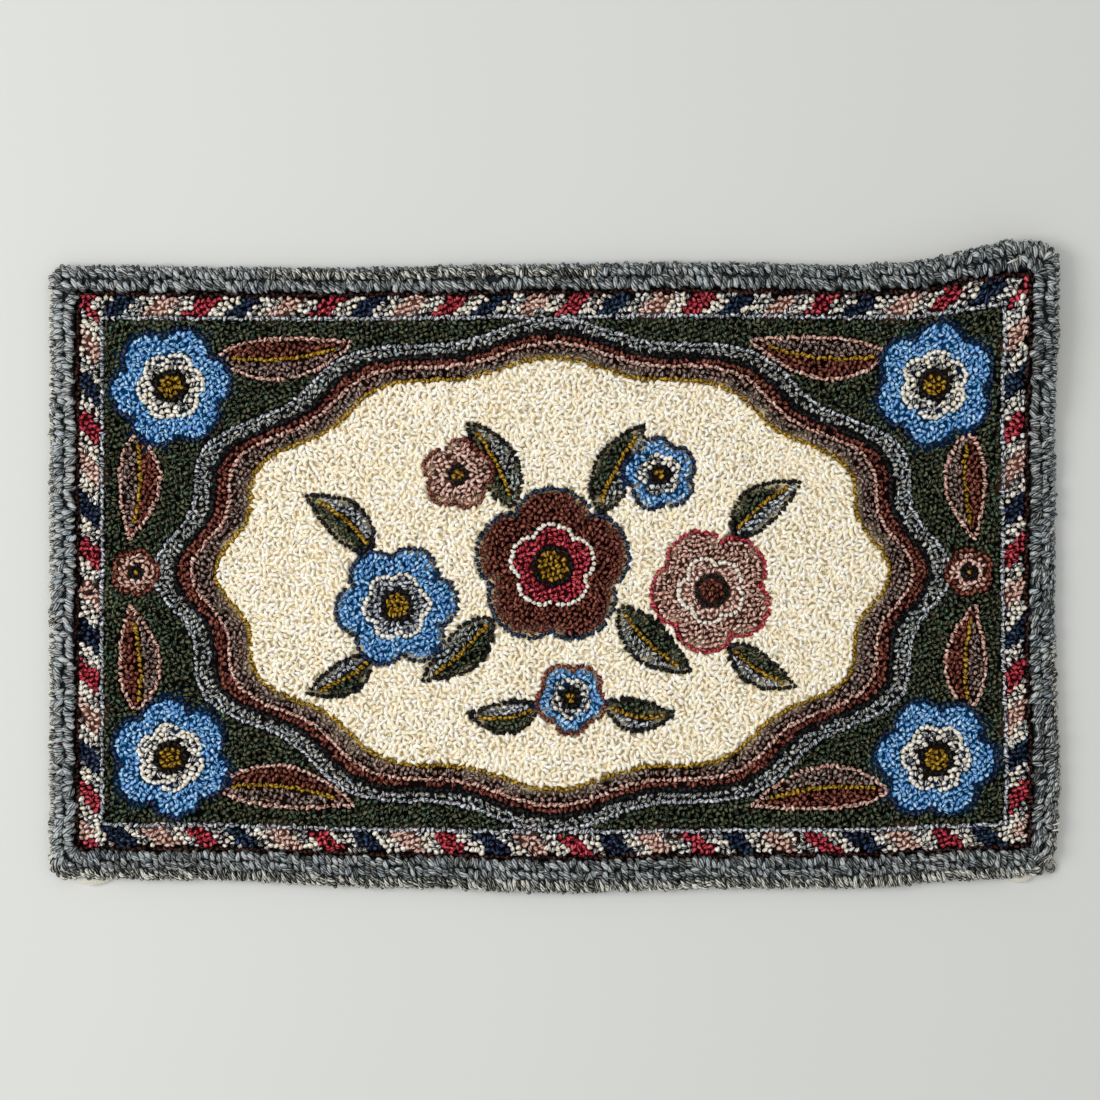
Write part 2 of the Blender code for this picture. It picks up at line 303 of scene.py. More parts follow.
print("oval", OVAL_HALF_X * 2, "by", OVAL_HALF_Y * 2, "m, rope", ROPE_WIDTH * 1000, "mm wide")

# %% The flowers
PETAL_FULLNESS = 0.6

Flower = namedtuple("Flower", "x y size petals turn outer inner heart rim depth")
FLOWERS = (
    Flower(0.000, 0.004, 0.051, 5, 0.30, "maroon", "crimson", "ochre", "navy", 0.20),
    Flower(-0.102, -0.022, 0.040, 6, 0.10, "sky", "mist", "ochre", "navy", 0.24),
    Flower(0.104, -0.012, 0.040, 5, 0.75, "rose", "blush", "maroon", "crimson", 0.22),
    Flower(-0.062, 0.064, 0.023, 5, 0.20, "rose", "blush", "ochre", "maroon", 0.22),
    Flower(0.070, 0.064, 0.024, 5, 0.50, "sky", "tweed", "ochre", "navy", 0.22),
    Flower(0.012, -0.082, 0.023, 5, 0.90, "sky", "tweed", "ochre", "maroon", 0.22),
    Flower(-0.250, 0.122, 0.040, 6, 0.15, "sky", "tweed", "ochre", "navy", 0.22),
    Flower(0.250, -0.122, 0.040, 6, 0.95, "sky", "tweed", "ochre", "navy", 0.22),
    Flower(0.250, 0.122, 0.040, 6, 0.40, "sky", "tweed", "ochre", "navy", 0.22),
    Flower(-0.250, -0.122, 0.040, 6, 0.65, "sky", "tweed", "ochre", "navy", 0.22),
    Flower(-0.273, 0.000, 0.015, 5, 0.00, "rose", "blush", "ochre", "maroon", 0.22),
    Flower(0.273, 0.000, 0.015, 5, 0.60, "rose", "blush", "ochre", "maroon", 0.22),
)


def petal_edge(flower, angle):
    """A flower's edge, which dips between its petals."""
    wave = np.abs(np.cos(flower.petals * (angle - flower.turn) / 2)) ** PETAL_FULLNESS
    return flower.size * (1.0 - flower.depth * (1.0 - wave))


def flower_share(flower, x, y):
    """Distance from a flower's middle, as a share of the way to its edge."""
    angle = np.arctan2(y - flower.y, x - flower.x)
    return np.hypot(x - flower.x, y - flower.y) / petal_edge(flower, angle)


widest = 2 * max(flower.size for flower in FLOWERS)
print(len(FLOWERS), "flowers, the largest", round(widest * 1000), "mm wide")

# %% The leaves
LEAF_TAPER = 0.8
LEAF_FULLNESS = 0.85

Leaf = namedtuple("Leaf", "x y length width angle bend light dark vein rim")
BOUQUET_LEAVES = (
    Leaf(0.030, 0.040, 0.064, 0.027, 62, 0.10, "moss", "grey", "ochre", "black"),
    Leaf(-0.026, 0.044, 0.062, 0.027, 118, -0.10, "moss", "grey", "ochre", "black"),
    Leaf(0.044, -0.024, 0.062, 0.026, -42, -0.12, "moss", "grey", "ochre", "black"),
    Leaf(-0.040, -0.030, 0.060, 0.026, 222, 0.12, "moss", "grey", "ochre", "black"),
    Leaf(0.118, 0.024, 0.056, 0.025, 38, 0.15, "moss", "mist", "ochre", "black"),
    Leaf(-0.118, 0.014, 0.056, 0.025, 140, -0.15, "moss", "mist", "ochre", "black"),
    Leaf(0.116, -0.048, 0.050, 0.021, -32, -0.15, "moss", "mist", "ochre", "black"),
    Leaf(-0.118, -0.056, 0.048, 0.021, 208, 0.15, "moss", "mist", "ochre", "black"),
    Leaf(0.034, -0.086, 0.046, 0.020, -8, -0.20, "moss", "mist", "ochre", "black"),
    Leaf(-0.010, -0.088, 0.046, 0.020, 186, 0.20, "moss", "mist", "ochre", "black"),
)
CORNER_LEAVES = (
    Leaf(0.218, 0.142, 0.088, 0.027, 174, 0.14, "maroon", "brown", "ochre", "rose"),
    Leaf(0.272, 0.090, 0.068, 0.026, -86, -0.12, "maroon", "brown", "ochre", "rose"),
)


def in_corner(leaf, side_x, side_y):
    """The leaf of the right top corner, turned over into another corner."""
    angle = math.radians(leaf.angle)
    turned = math.atan2(side_y * math.sin(angle), side_x * math.cos(angle))
    return leaf._replace(x=leaf.x * side_x, y=leaf.y * side_y, angle=math.degrees(turned),
                         bend=leaf.bend * side_x * side_y)


LEAVES = list(BOUQUET_LEAVES)
for side_x in (1, -1):
    for side_y in (1, -1):
        LEAVES += [in_corner(leaf, side_x, side_y) for leaf in CORNER_LEAVES]


def leaf_bow(leaf, share):
    """How far a leaf's midrib bows aside, at a share of its length."""
    return 2.0 * leaf.bend * leaf.length * share * (1.0 - share)


def leaf_half(leaf, share):
    """Half a leaf's width at a share of its length."""
    swell = np.sin(np.pi * np.clip(share, 0.0, 1.0) ** LEAF_TAPER)
    return leaf.width / 2 * swell ** LEAF_FULLNESS


print(len(BOUQUET_LEAVES), "leaves in the bouquet,", len(LEAVES), "in all")

# %% Which yarn goes where
HEART_SHARE = 0.24
INNER_SHARE = 0.54


def yarn_at(x, y):
    """The number of the yarn at each place of the field."""
    yarn = np.full(len(x), YARN_NUMBER["moss"])
    for band in OVAL_BANDS:
        yarn[oval_share(x, y) < band.share] = YARN_NUMBER[band.yarn]
    for leaf in LEAVES:
        cosine = math.cos(math.radians(leaf.angle))
        sine = math.sin(math.radians(leaf.angle))
        share = ((x - leaf.x) * cosine + (y - leaf.y) * sine) / leaf.length
        aside = (y - leaf.y) * cosine - (x - leaf.x) * sine - leaf_bow(leaf, share)
        inside = (share > 0.0) & (share < 1.0) & (np.abs(aside) < leaf_half(leaf, share))
        yarn[inside & (aside >= 0.0)] = YARN_NUMBER[leaf.light]
        yarn[inside & (aside < 0.0)] = YARN_NUMBER[leaf.dark]
    for flower in FLOWERS:
        share = flower_share(flower, x, y)
        yarn[share < 1.0] = YARN_NUMBER[flower.outer]
        yarn[share < INNER_SHARE] = YARN_NUMBER[flower.inner]
        heart = np.hypot(x - flower.x, y - flower.y) < flower.size * HEART_SHARE
        yarn[heart] = YARN_NUMBER[flower.heart]
    in_rope = rim_depth(x, y) < ROPE_WIDTH
    yarn[in_rope] = rope_yarn(x, y)[in_rope]
    return yarn


middle_yarn = yarn_at(np.zeros(1), np.array([FLOWERS[0].y]))[0]
print("the yarn in the middle of the largest flower is", YARN_NAMES[middle_yarn])

# %% [markdown]
# Where each loop goes
#
# A hooker first outlines a motif with one string of loops, then fills it with rows, and then
# pokes single loops into whatever gaps are left. Doing just that gives the lively but even look
# of the real thing, which neither a strict grid nor pure chance has. A board that remembers the
# loops already placed, cell by cell, keeps each new one from crowding them.

# %% Strings of loops along the outlines
LOOP_PITCH = 0.0034
LARGE_FLOWER = 0.030
RING_POINTS = 721
FRAME_POINTS = 2001
LEAF_POINTS = 61
VEIN_START = 0.07
VEIN_END = 0.88
OVAL_STRINGS = (
    Band(1.00, "ochre"),
    Band(1.07, "rose"),
    Band(1.12, "black"),
    Band(1.18, "mist"),
)

YarnString = namedtuple("YarnString", "x y yarn over_flowers")


def outline_strings():
    """Every outlining string, as dense points, its yarn and whether it crosses flowers."""
    strings = []
    angle = np.linspace(0.0, 2 * np.pi, RING_POINTS)
    for band in OVAL_STRINGS:
        edge = oval_edge(angle) * band.share
        x = OVAL_HALF_X * edge * np.cos(angle)
        y = OVAL_HALF_Y * edge * np.sin(angle)
        strings.append(YarnString(x, y, band.yarn, False))
    frame_x = FIELD_HALF_X - ROPE_WIDTH - LOOP_PITCH / 2
    frame_y = FIELD_HALF_Y - ROPE_WIDTH - LOOP_PITCH / 2
    corners = np.arange(5)
    run = np.linspace(0.0, 4.0, FRAME_POINTS)
    x = np.interp(run, corners, [-frame_x, frame_x, frame_x, -frame_x, -frame_x])
    y = np.interp(run, corners, [-frame_y, -frame_y, frame_y, frame_y, -frame_y])
    strings.append(YarnString(x, y, "mist", False))
    for leaf in LEAVES:
        share = np.linspace(0.0, 1.0, LEAF_POINTS)
        cosine = math.cos(math.radians(leaf.angle))
        sine = math.sin(math.radians(leaf.angle))
        bow = leaf_bow(leaf, share)
        half = leaf_half(leaf, share)
        along = np.concatenate((share, share[::-1])) * leaf.length
        aside = np.concatenate((bow + half, (bow - half)[::-1]))
        rim_x = leaf.x + along * cosine - aside * sine
        rim_y = leaf.y + along * sine + aside * cosine
        strings.append(YarnString(rim_x, rim_y, leaf.rim, False))
        vein = (share > VEIN_START) & (share < VEIN_END)
        vein_x = leaf.x + (share * leaf.length * cosine - bow * sine)[vein]
        vein_y = leaf.y + (share * leaf.length * sine + bow * cosine)[vein]
        strings.append(YarnString(vein_x, vein_y, leaf.vein, False))
    for flower in FLOWERS:
        edge = petal_edge(flower, angle)
        inner_rim = "white" if flower.size > LARGE_FLOWER else flower.inner
        heart = np.full_like(angle, flower.size * HEART_SHARE)
        rims = ((edge, flower.rim), (edge * INNER_SHARE, inner_rim), (heart, "black"))
        for reach, yarn in rims:
            x = flower.x + reach * np.cos(angle)
            y = flower.y + reach * np.sin(angle)
            strings.append(YarnString(x, y, yarn, True))
    return strings


strings = outline_strings()
print(len(strings), "outlining strings")

# %% Even places along a line
def evenly_spaced(x, y, pitch):
    """Places at an even pitch along a line of dense points, and the line's direction there."""
    run = np.concatenate(([0.0], np.cumsum(np.hypot(np.diff(x), np.diff(y)))))
    count = max(2, round(run[-1] / pitch))
    stops = (np.arange(count) + 0.5) / count * run[-1]
    reach = pitch / 2
    ahead = np.clip(stops + reach, 0.0, run[-1])
    behind = np.clip(stops - reach, 0.0, run[-1])
    rise = np.interp(ahead, run, y) - np.interp(behind, run, y)
    forward = np.interp(ahead, run, x) - np.interp(behind, run, x)
    return np.interp(stops, run, x), np.interp(stops, run, y), np.arctan2(rise, forward)


oval_places = evenly_spaced(strings[0].x, strings[0].y, LOOP_PITCH)[0]
print("the oval's inmost string takes about", len(oval_places), "loops")

# %% A board that remembers the loops
RIM_ROOM = 0.0004


class Board:
    """Remembers the loops placed so far, in square cells, and keeps new ones from crowding."""

    def __init__(self, cell):
        self.cell = cell
        self.cells = {}
        self.loops = []

    def hook(self, x, y, yarn, turn, room):
        """Places a loop unless it is off the field or another stands within its room."""
        if abs(x) > FIELD_HALF_X - RIM_ROOM or abs(y) > FIELD_HALF_Y - RIM_ROOM:
            return
        column = math.floor(x / self.cell)
        row = math.floor(y / self.cell)
        for near_column in (column - 1, column, column + 1):
            for near_row in (row - 1, row, row + 1):
                for other_x, other_y in self.cells.get((near_column, near_row), ()):
                    if (other_x - x) ** 2 + (other_y - y) ** 2 < room * room:
                        return
        self.cells.setdefault((column, row), []).append((x, y))
        self.loops.append((x, y, yarn, turn))


board = Board(LOOP_PITCH)
print("a board with cells of", round(board.cell * 1000, 1), "mm")

# %% Hook the outlines
STRING_PITCH = 1.02 * LOOP_PITCH
STRING_UNEVEN = 0.09 * LOOP_PITCH
STRING_ROOM = 0.66 * LOOP_PITCH


def hook_strings(board):
    """Hooks the flowers' outlines, then the others where no flower covers them."""
    for string in sorted(strings, key=lambda string: not string.over_flowers):
        x, y, turn = evenly_spaced(string.x, string.y, STRING_PITCH)
        x = x + rng.normal(0.0, STRING_UNEVEN, len(x))
        y = y + rng.normal(0.0, STRING_UNEVEN, len(y))
        free = np.ones(len(x), bool)
        if not string.over_flowers:
            for flower in FLOWERS:
                free &= flower_share(flower, x, y) >= 1.0
        for place in np.nonzero(free)[0]:
            board.hook(x[place], y[place], YARN_NUMBER[string.yarn], turn[place], STRING_ROOM)


hook_strings(board)
string_loops = len(board.loops)
print(string_loops, "loops in the outlines")

# %% Fill the areas with rows, and then the gaps
ROW_ROOM = 0.74 * LOOP_PITCH
ROW_REACH = 0.40
ROW_CLOSENESS = 0.97
LOOP_CLOSENESS = 0.95
ROW_WANDER = 0.0022
WANDER_ALONG = 38.0
WANDER_BETWEEN_ROWS = 21.0
ALONG_UNEVEN = 0.16 * LOOP_PITCH
ACROSS_UNEVEN = 0.14 * LOOP_PITCH
GAP_ROOM = 0.74 * LOOP_PITCH
GAP_TRIES = 60000


def hook_rows(board, name):
    """Fills one yarn's areas with wandering rows."""
    slant = math.radians(YARNS[name].slant)
    pitch = LOOP_PITCH * YARNS[name].spacing
    room = ROW_ROOM * YARNS[name].spacing
    for row in np.arange(-ROW_REACH, ROW_REACH, pitch * ROW_CLOSENESS):
        along = np.arange(-ROW_REACH, ROW_REACH, pitch * LOOP_CLOSENESS) + rng.uniform(0.0, pitch)
        along = along + rng.normal(0.0, ALONG_UNEVEN, len(along))
        wander = ROW_WANDER * np.sin(along * WANDER_ALONG + row * WANDER_BETWEEN_ROWS)
        across = row + wander + rng.normal(0.0, ACROSS_UNEVEN, len(along))
        x = along * math.cos(slant) - across * math.sin(slant)
        y = along * math.sin(slant) + across * math.cos(slant)
        inside = rim_depth(x, y) > 0.0
        x = x[inside]
        y = y[inside]
        for place in np.nonzero(yarn_at(x, y) == YARN_NUMBER[name])[0]:
            board.hook(x[place], y[place], YARN_NUMBER[name], slant, room)


def hook_gaps(board):
    """Pokes single loops into the gaps that are left, in the yarn of the place."""
    x = rng.uniform(-FIELD_HALF_X, FIELD_HALF_X, GAP_TRIES)
    y = rng.uniform(-FIELD_HALF_Y, FIELD_HALF_Y, GAP_TRIES)
    turn = rng.uniform(0.0, np.pi, GAP_TRIES)
    yarn = yarn_at(x, y)
    for place in range(GAP_TRIES):
        board.hook(x[place], y[place], yarn[place], turn[place], GAP_ROOM)


for name in YARN_NAMES:
    hook_rows(board, name)
row_loops = len(board.loops) - string_loops
hook_gaps(board)
print(row_loops, "loops in rows and", len(board.loops) - row_loops - string_loops, "in gaps")

# %% Let crowded loops push each other aside
JOSTLE_ROUNDS = 8
JOSTLE_ROOM = 1.12 * LOOP_PITCH
JOSTLE_PUSH = 0.15
JOSTLE_STEP = 0.0004
FIRM_YIELD = 0.25
WHITE_SHARE = 0.45


def jostle(x, y, firm_count):
    """Lets crowded loops push each other aside. The first ones stand firm and hardly move."""
    yielding = np.where(np.arange(len(x)) < firm_count, FIRM_YIELD, 1.0)
    for _ in range(JOSTLE_ROUNDS):
        near = kdtree.KDTree(len(x))
        for number in range(len(x)):
            near.insert((x[number], y[number], 0.0), number)
        near.balance()
        shift = np.zeros((len(x), 2))
        for number in range(len(x)):
            for other, _, distance in near.find_range((x[number], y[number], 0.0), JOSTLE_ROOM):
                if distance > 0.0:
                    push = JOSTLE_PUSH * (JOSTLE_ROOM - distance) / distance
                    shift[number] += (push * (x[number] - other.x), push * (y[number] - other.y))
        shift = np.clip(shift, -JOSTLE_STEP, JOSTLE_STEP) * yielding[:, None]
        x = np.clip(x + shift[:, 0], RIM_ROOM - FIELD_HALF_X, FIELD_HALF_X - RIM_ROOM)
        y = np.clip(y + shift[:, 1], RIM_ROOM - FIELD_HALF_Y, FIELD_HALF_Y - RIM_ROOM)
    return x, y


loop_x, loop_y, loop_yarn, loop_turn = np.array(board.loops).T
loop_x, loop_y = jostle(loop_x, loop_y, string_loops)
loop_yarn = loop_yarn.astype(int)
turned_white = rng.uniform(0.0, 1.0, len(loop_yarn)) < WHITE_SHARE
loop_yarn[(loop_yarn == YARN_NUMBER["tweed"]) & turned_white] = YARN_NUMBER["white"]
for number, name in enumerate(YARN_NAMES):
    print(f"{name:8s} {np.sum(loop_yarn == number) / len(loop_yarn):6.1%}")
print(len(loop_x), "loops in the field")

# %% [markdown]
# One loop
#
# A loop is a short arch of yarn with both feet in the cloth. Spinning a small circle two thirds
# of the way round an axis beside it makes that arch, pinched in at the feet like the real one.
# Both ends are closed, so each loop is a solid of its own.
#
# The loop keeps two maps. One runs along and round the yarn, for its twist. The other lays the
# loop out as a square tile, so that a finished mesh of thousands of loops can give each its own
# small square in one picture when the colours are baked.

# %% Spin one loop and read it into arrays
ARCH_TURN = math.radians(240)
FOOT_PINCH = 0.25
END_MIDDLES = (0.25, 0.75)
END_REACH = (0.4, 0.2)
FIELD_SIDES = 4
FIELD_STEPS = 4
FIELD_REACH = 0.00098
FIELD_THICKNESS = 0.00084

Loop = namedtuple("Loop", "points corners face_starts along_round tile stage")


def spun_loop(sides, steps, reach, thickness, lobe=0.0, twist=0.0, stage=0.0, turn=ARCH_TURN):
    """One arch of yarn: x runs along it, y across and z up, with its axis at the origin.

    Lobe is how deep the groove between the yarn's two strands is, twist how many turns they
    make from foot to foot, and stage how far round they are at the first foot. Turn is how far
    round its axis the yarn goes.
    """
    shape = bmesh.new()
    bmesh.ops.create_circle(shape, segments=sides, radius=thickness)
    bmesh.ops.rotate(shape, verts=shape.verts, matrix=Matrix.Rotation(math.radians(90), 3, "Z"))
    bmesh.ops.translate(shape, verts=shape.verts, vec=(reach, 0.0, 0.0))
    start = Matrix.Rotation((turn - math.pi) / 2, 3, "Y")
    bmesh.ops.rotate(shape, verts=shape.verts, matrix=start)
    bmesh.ops.spin(shape, geom=shape.verts[:] + shape.edges[:], cent=(0.0, 0.0, 0.0),
                   axis=(0.0, 1.0, 0.0), angle=-turn, steps=steps)
    ends = [edge for edge in shape.edges if edge.is_boundary]
    bmesh.ops.holes_fill(shape, edges=ends, sides=sides)
    bmesh.ops.recalc_face_normals(shape, faces=shape.faces)
    shape.verts.index_update()
    points = np.array([vertex.co for vertex in shape.verts]).reshape(steps + 1, sides, 3)
    centre = points.mean(axis=1, keepdims=True)
    ring_share = (np.arange(steps + 1) / steps)[:, None]
    angle = (np.arange(sides) / sides * 2 * np.pi)[None, :]
    strands = 1.0 + lobe * np.cos(2.0 * (angle - 2 * np.pi * (twist * ring_share + stage)))
    pinch = 1.0 - FOOT_PINCH * np.abs(2.0 * ring_share - 1.0) ** 2
    points = centre + (points - centre) * (strands * pinch)[..., None]
    corners = []
    face_starts = []
    along_round = []
    tile = []
    for face in shape.faces:
        face_starts.append(len(corners))
        rings = [vertex.index // sides for vertex in face.verts]
        rounds = [vertex.index % sides / sides for vertex in face.verts]
        is_end = len(set(rings)) == 1
        if max(rounds) - min(rounds) > 0.5 and not is_end:
            rounds = [share if share > 0.0 else 1.0 for share in rounds]
        for vertex, ring, share in zip(face.verts, rings, rounds):
            corners.append(vertex.index)
            along_round.append((ring / steps, share))
            if is_end:
                place_angle = share * 2 * math.pi
                middle = END_MIDDLES[0] if ring == 0 else END_MIDDLES[1]
                across = steps + 0.5 + END_REACH[0] * math.cos(place_angle)
                tile.append((across / (steps + 1), middle + END_REACH[1] * math.sin(place_angle)))
            else:
                tile.append((ring / (steps + 1), share))
    shape.free()
    arrays = (points.reshape(-1, 3), corners, face_starts, along_round, tile)
    return Loop(*(np.array(values) for values in arrays), stage)


field_loop = spun_loop(FIELD_SIDES, FIELD_STEPS, FIELD_REACH, FIELD_THICKNESS)
size = np.ptp(field_loop.points, axis=0) * 1000
print("field loop, mm long, wide and high:", np.round(size, 2))
print("its faces:", len(field_loop.face_starts))

# %% [markdown]
# A thousand loops in one mesh
#
# Copying an object for each loop would swamp any file. Instead the loop's points are repeated
# as one big array, turned, stretched and leaned for each place, and settled on the rug in one
# go. The faces are repeated the same way, and the lot becomes one mesh for each yarn.

# %% Join many loops in one mesh
TILE_MARGIN = 0.06


def set_attribute(mesh, name, kind, field, values):
    """Adds a named value for every point of a mesh."""
    attribute = mesh.attributes.new(name, kind, "POINT")
    attribute.data.foreach_set(field, np.asarray(values, np.float32).ravel())


def joined_mesh(name, points, loop):
    """One mesh that has the loop's faces and maps again for each set of points."""
    count, points_each = points.shape[:2]
    corners_each = len(loop.corners)
    order = np.arange(count)[:, None]
    mesh = bpy.data.meshes.new(name)
    mesh.vertices.add(count * points_each)
    mesh.vertices.foreach_set("co", np.asarray(points, np.float32).ravel())
    mesh.loops.add(count * corners_each)
    mesh.loops.foreach_set("vertex_index", (loop.corners + order * points_each).ravel())
    mesh.polygons.add(count * len(loop.face_starts))
    mesh.polygons.foreach_set("loop_start", (loop.face_starts + order * corners_each).ravel())
    mesh.update(calc_edges=True)
    columns = math.ceil(math.sqrt(count))
    tile_corner = np.stack((np.arange(count) % columns, np.arange(count) // columns), axis=-1)
    tile = TILE_MARGIN + loop.tile * (1.0 - 2 * TILE_MARGIN)
    baked = (tile_corner[:, None, :] + tile) / columns
    yarn_map = np.broadcast_to(loop.along_round, (count, corners_each, 2))
    for map_name, values in (("yarn", yarn_map), ("OFBake", baked)):
        uv_map = mesh.uv_layers.new(name=map_name)
        uv_map.uv.foreach_set("vector", np.asarray(values, np.float32).ravel())
    mesh.shade_smooth()
    return mesh


print("each loop keeps", round(100 * TILE_MARGIN), "% of its tile free on every side")

# %% Repeat a loop at many places
LEAN_POWER = 1.5
BOW_MIDDLE = 0.4

Places = namedtuple("Places", "x y turn crest length width height bow lean_x lean_y")


def hooked(name, places, loops, lighter=0.0):
    """A piece with one loop of yarn at each place.

    Each point keeps how high it is on its loop, and each loop a tone and its twist's stage.
    Lighter says how much lighter or darker than usual the loops are. On the border it holds painted
    light and shade by side, and the marled stretch's darker yarn.
    """
    count = len(places.x)
    tones = rng.uniform(0.0, 1.0, count) + lighter
    kind = rng.integers(len(loops), size=count)
    shapes = np.stack([loop.points for loop in loops])[kind]
    stages = np.array([loop.stage for loop in loops])[kind]
    if len(loops) == 1:
        stages = rng.uniform(0.0, 1.0, count)
    along = shapes[..., 0] * places.length[:, None]
    end_share = (shapes[..., 0] / shapes[..., 0].max()) ** 2
    bowed = places.bow[:, None] * (end_share - BOW_MIDDLE)
    across = shapes[..., 1] * places.width[:, None] + bowed
    up = shapes[..., 2] * places.height[:, None]
    top = up.max(axis=1, keepdims=True)
    foot = up.min(axis=1, keepdims=True)
    rise = (up - foot) / (top - foot)
    leaned = rise ** LEAN_POWER
    cosine = np.cos(places.turn)[:, None]
    sine = np.sin(places.turn)[:, None]
    x = places.x[:, None] + along * cosine - across * sine + places.lean_x[:, None] * leaned
    y = places.y[:, None] + along * sine + across * cosine + places.lean_y[:, None] * leaned
    mesh = joined_mesh(name, settle(x, y, places.crest[:, None] + up - top), loops[0])
    points_each = shapes.shape[1]
    set_attribute(mesh, "rise", "FLOAT", "value", rise)
    set_attribute(mesh, "tone", "FLOAT", "value", np.repeat(tones, points_each))
    set_attribute(mesh, "stage", "FLOAT", "value", np.repeat(stages, points_each))
    piece = bpy.data.objects.new(name, mesh)
    bpy.context.collection.objects.link(piece)
    return piece


print("each loop has its own", ", ".join(Places._fields))

# %% Hook the field
FIELD_CREST = 0.0080
CREST_UNEVEN = 0.00036
FIELD_WAVE = 0.0004
FIELD_WAVE_LENGTH = 0.13
FIELD_HEIGHT_SCALE = 1.60
FIELD_LENGTH_SCALE = 1.28
FIELD_WIDTH_SCALE = 1.78
FIELD_BOW = 0.0011
LENGTH_SPREAD = (0.80, 1.20)
WIDTH_SPREAD = (0.82, 1.16)
HEIGHT_SPREAD = (0.95, 1.05)
LEAN_UNEVEN = 0.00040
RIM_DROP = 0.0009
RIM_DROP_WIDTH = 0.003
LARGE_AREA = 3000


def field_places(name, chosen):
    """The places of one yarn's loops, each a little different from the next."""
    yarn = YARNS[name]
    count = len(chosen)
    x = loop_x[chosen]
    y = loop_y[chosen]
    wave_turn = 2 * np.pi / FIELD_WAVE_LENGTH
    wave = FIELD_WAVE * np.sin(wave_turn * x) * np.cos(wave_turn * y)
    rim = RIM_DROP * (1.0 - ease(rim_depth(x, y) / RIM_DROP_WIDTH))
    return Places(
        x=x,
        y=y,
        turn=loop_turn[chosen] + rng.normal(0.0, yarn.curl, count),
        crest=FIELD_CREST + wave - rim + rng.normal(0.0, CREST_UNEVEN, count),
        length=FIELD_LENGTH_SCALE * yarn.length * rng.uniform(*LENGTH_SPREAD, count),
        width=FIELD_WIDTH_SCALE * yarn.width * rng.uniform(*WIDTH_SPREAD, count),
        height=FIELD_HEIGHT_SCALE * rng.uniform(*HEIGHT_SPREAD, count),
        bow=rng.normal(0.0, FIELD_BOW * yarn.curl, count),
        lean_x=rng.normal(0.0, LEAN_UNEVEN, count),
        lean_y=rng.normal(0.0, LEAN_UNEVEN, count),
    )


field_pieces = {}
for name in YARN_NAMES:
    chosen = np.nonzero(loop_yarn == YARN_NUMBER[name])[0]
    parts = 2 if len(chosen) > LARGE_AREA else 1
    for part, group in enumerate(np.array_split(chosen, parts)):
        piece_name = f"{name}_loops_{part + 1}"
        field_pieces[piece_name] = hooked(piece_name, field_places(name, group), [field_loop])
triangles = {name: len(piece.data.polygons) * 2 for name, piece in field_pieces.items()}
print("most triangles in one piece:", max(triangles.values()), "in all:", sum(triangles.values()))

# %% [markdown]
# The border
#
# The border yarn is thicker, a dark strand twisted with a light one, and its loops stand
# crosswise in rows: one along the very edge, leaning out and down over it, then two tall ribs,
# then one low dark row that divides the border from the field. These loops are big enough for
# their two strands to show, so they get more sides, a groove between the strands and a real
# twist. Four versions with the twist at another stage keep the rows from looking stamped.
#
# The rows don't lie the same on all sides. Along the bottom the edge row hangs out and all
# three show. On the other sides the outer rib spreads over the edge row, so that two wide bands
# show, and on the short sides their loops slant, on the right one more and more towards its
# ends.
#
# The edge row is partly of a marled yarn of black and cream, on the left, along the bottom and
# on the lower right, and so is a stretch of the outer rib at the top. The rest is of the
# border's own yarn. Where a row turns a corner, its loops fan out and spread to fill the room.

# %% Name the rows
Sides = namedtuple("Sides", "right top left bottom")
Row = namedtuple("Row", "name inset pitch crest width height lean uneven curl "
                        "lengths shifts slants")
ROWS = (
    Row("edge_loops", 0.0035, 0.0032, 0.0088, 1.26, 1.50, 0.0011, 0.00035, 0.18,
        Sides(1.10, 1.10, 1.10, 1.35), Sides(0.0, 0.0, 0.0, 0.0), Sides(0.1, 0.1, -0.5, 0.3)),
    Row("outer_rib_loops", 0.0088, 0.0042, 0.0110, 1.72, 1.50, 0.0, 0.00080, 0.36,
        Sides(1.46, 1.38, 1.46, 1.36), Sides(0.0018, 0.0025, 0.0018, 0.0003),
        Sides(0.0, 0.0, -0.4, 0.2)),
    Row("inner_rib_loops", 0.0144, 0.0042, 0.0110, 1.76, 1.50, -0.0002, 0.00080, 0.30,
        Sides(1.58, 1.62, 1.58, 1.42), Sides(0.0009, 0.0010, 0.0009, 0.0),
        Sides(0.0, 0.0, -0.7, 0.0)),
)
OUTLINE = Row("outline_loops", 0.0190, 0.0034, 0.0064, 1.80, 1.30, 0.0, 0.00055, 0.60,
              Sides(1.45, 1.45, 1.45, 1.45), Sides(0.0, 0.0, 0.0, 0.0), Sides(1.1, 1.1, 1.1, 1.1))
print("insets of the rows in mm:", [round(row.inset * 1000, 1) for row in (*ROWS, OUTLINE)])

# %% Places along a row
CORNER_POINTS = 24
BORDER_SPREAD = (0.84, 1.14)
BORDER_HEIGHT_SPREAD = (0.96, 1.04)
BORDER_BOW = 0.0007
SLANT_LENGTHS = (0.083, 0.21)
SLANT_WAVE = Sides(0.30, 0.10, 0.35, 0.20)
RIGHT_FAN = 0.75
CORNER_SPREAD = 0.28


def on_sides(values, out):
    """A value that differs by the rug's sides. Out is the direction out over the rim."""
    across = np.cos(out)
    upward = np.sin(out)
    shares = (across.clip(0.0), upward.clip(0.0), (-across).clip(0.0), (-upward).clip(0.0))
    return sum(value * share ** 2 for value, share in zip(values, shares))


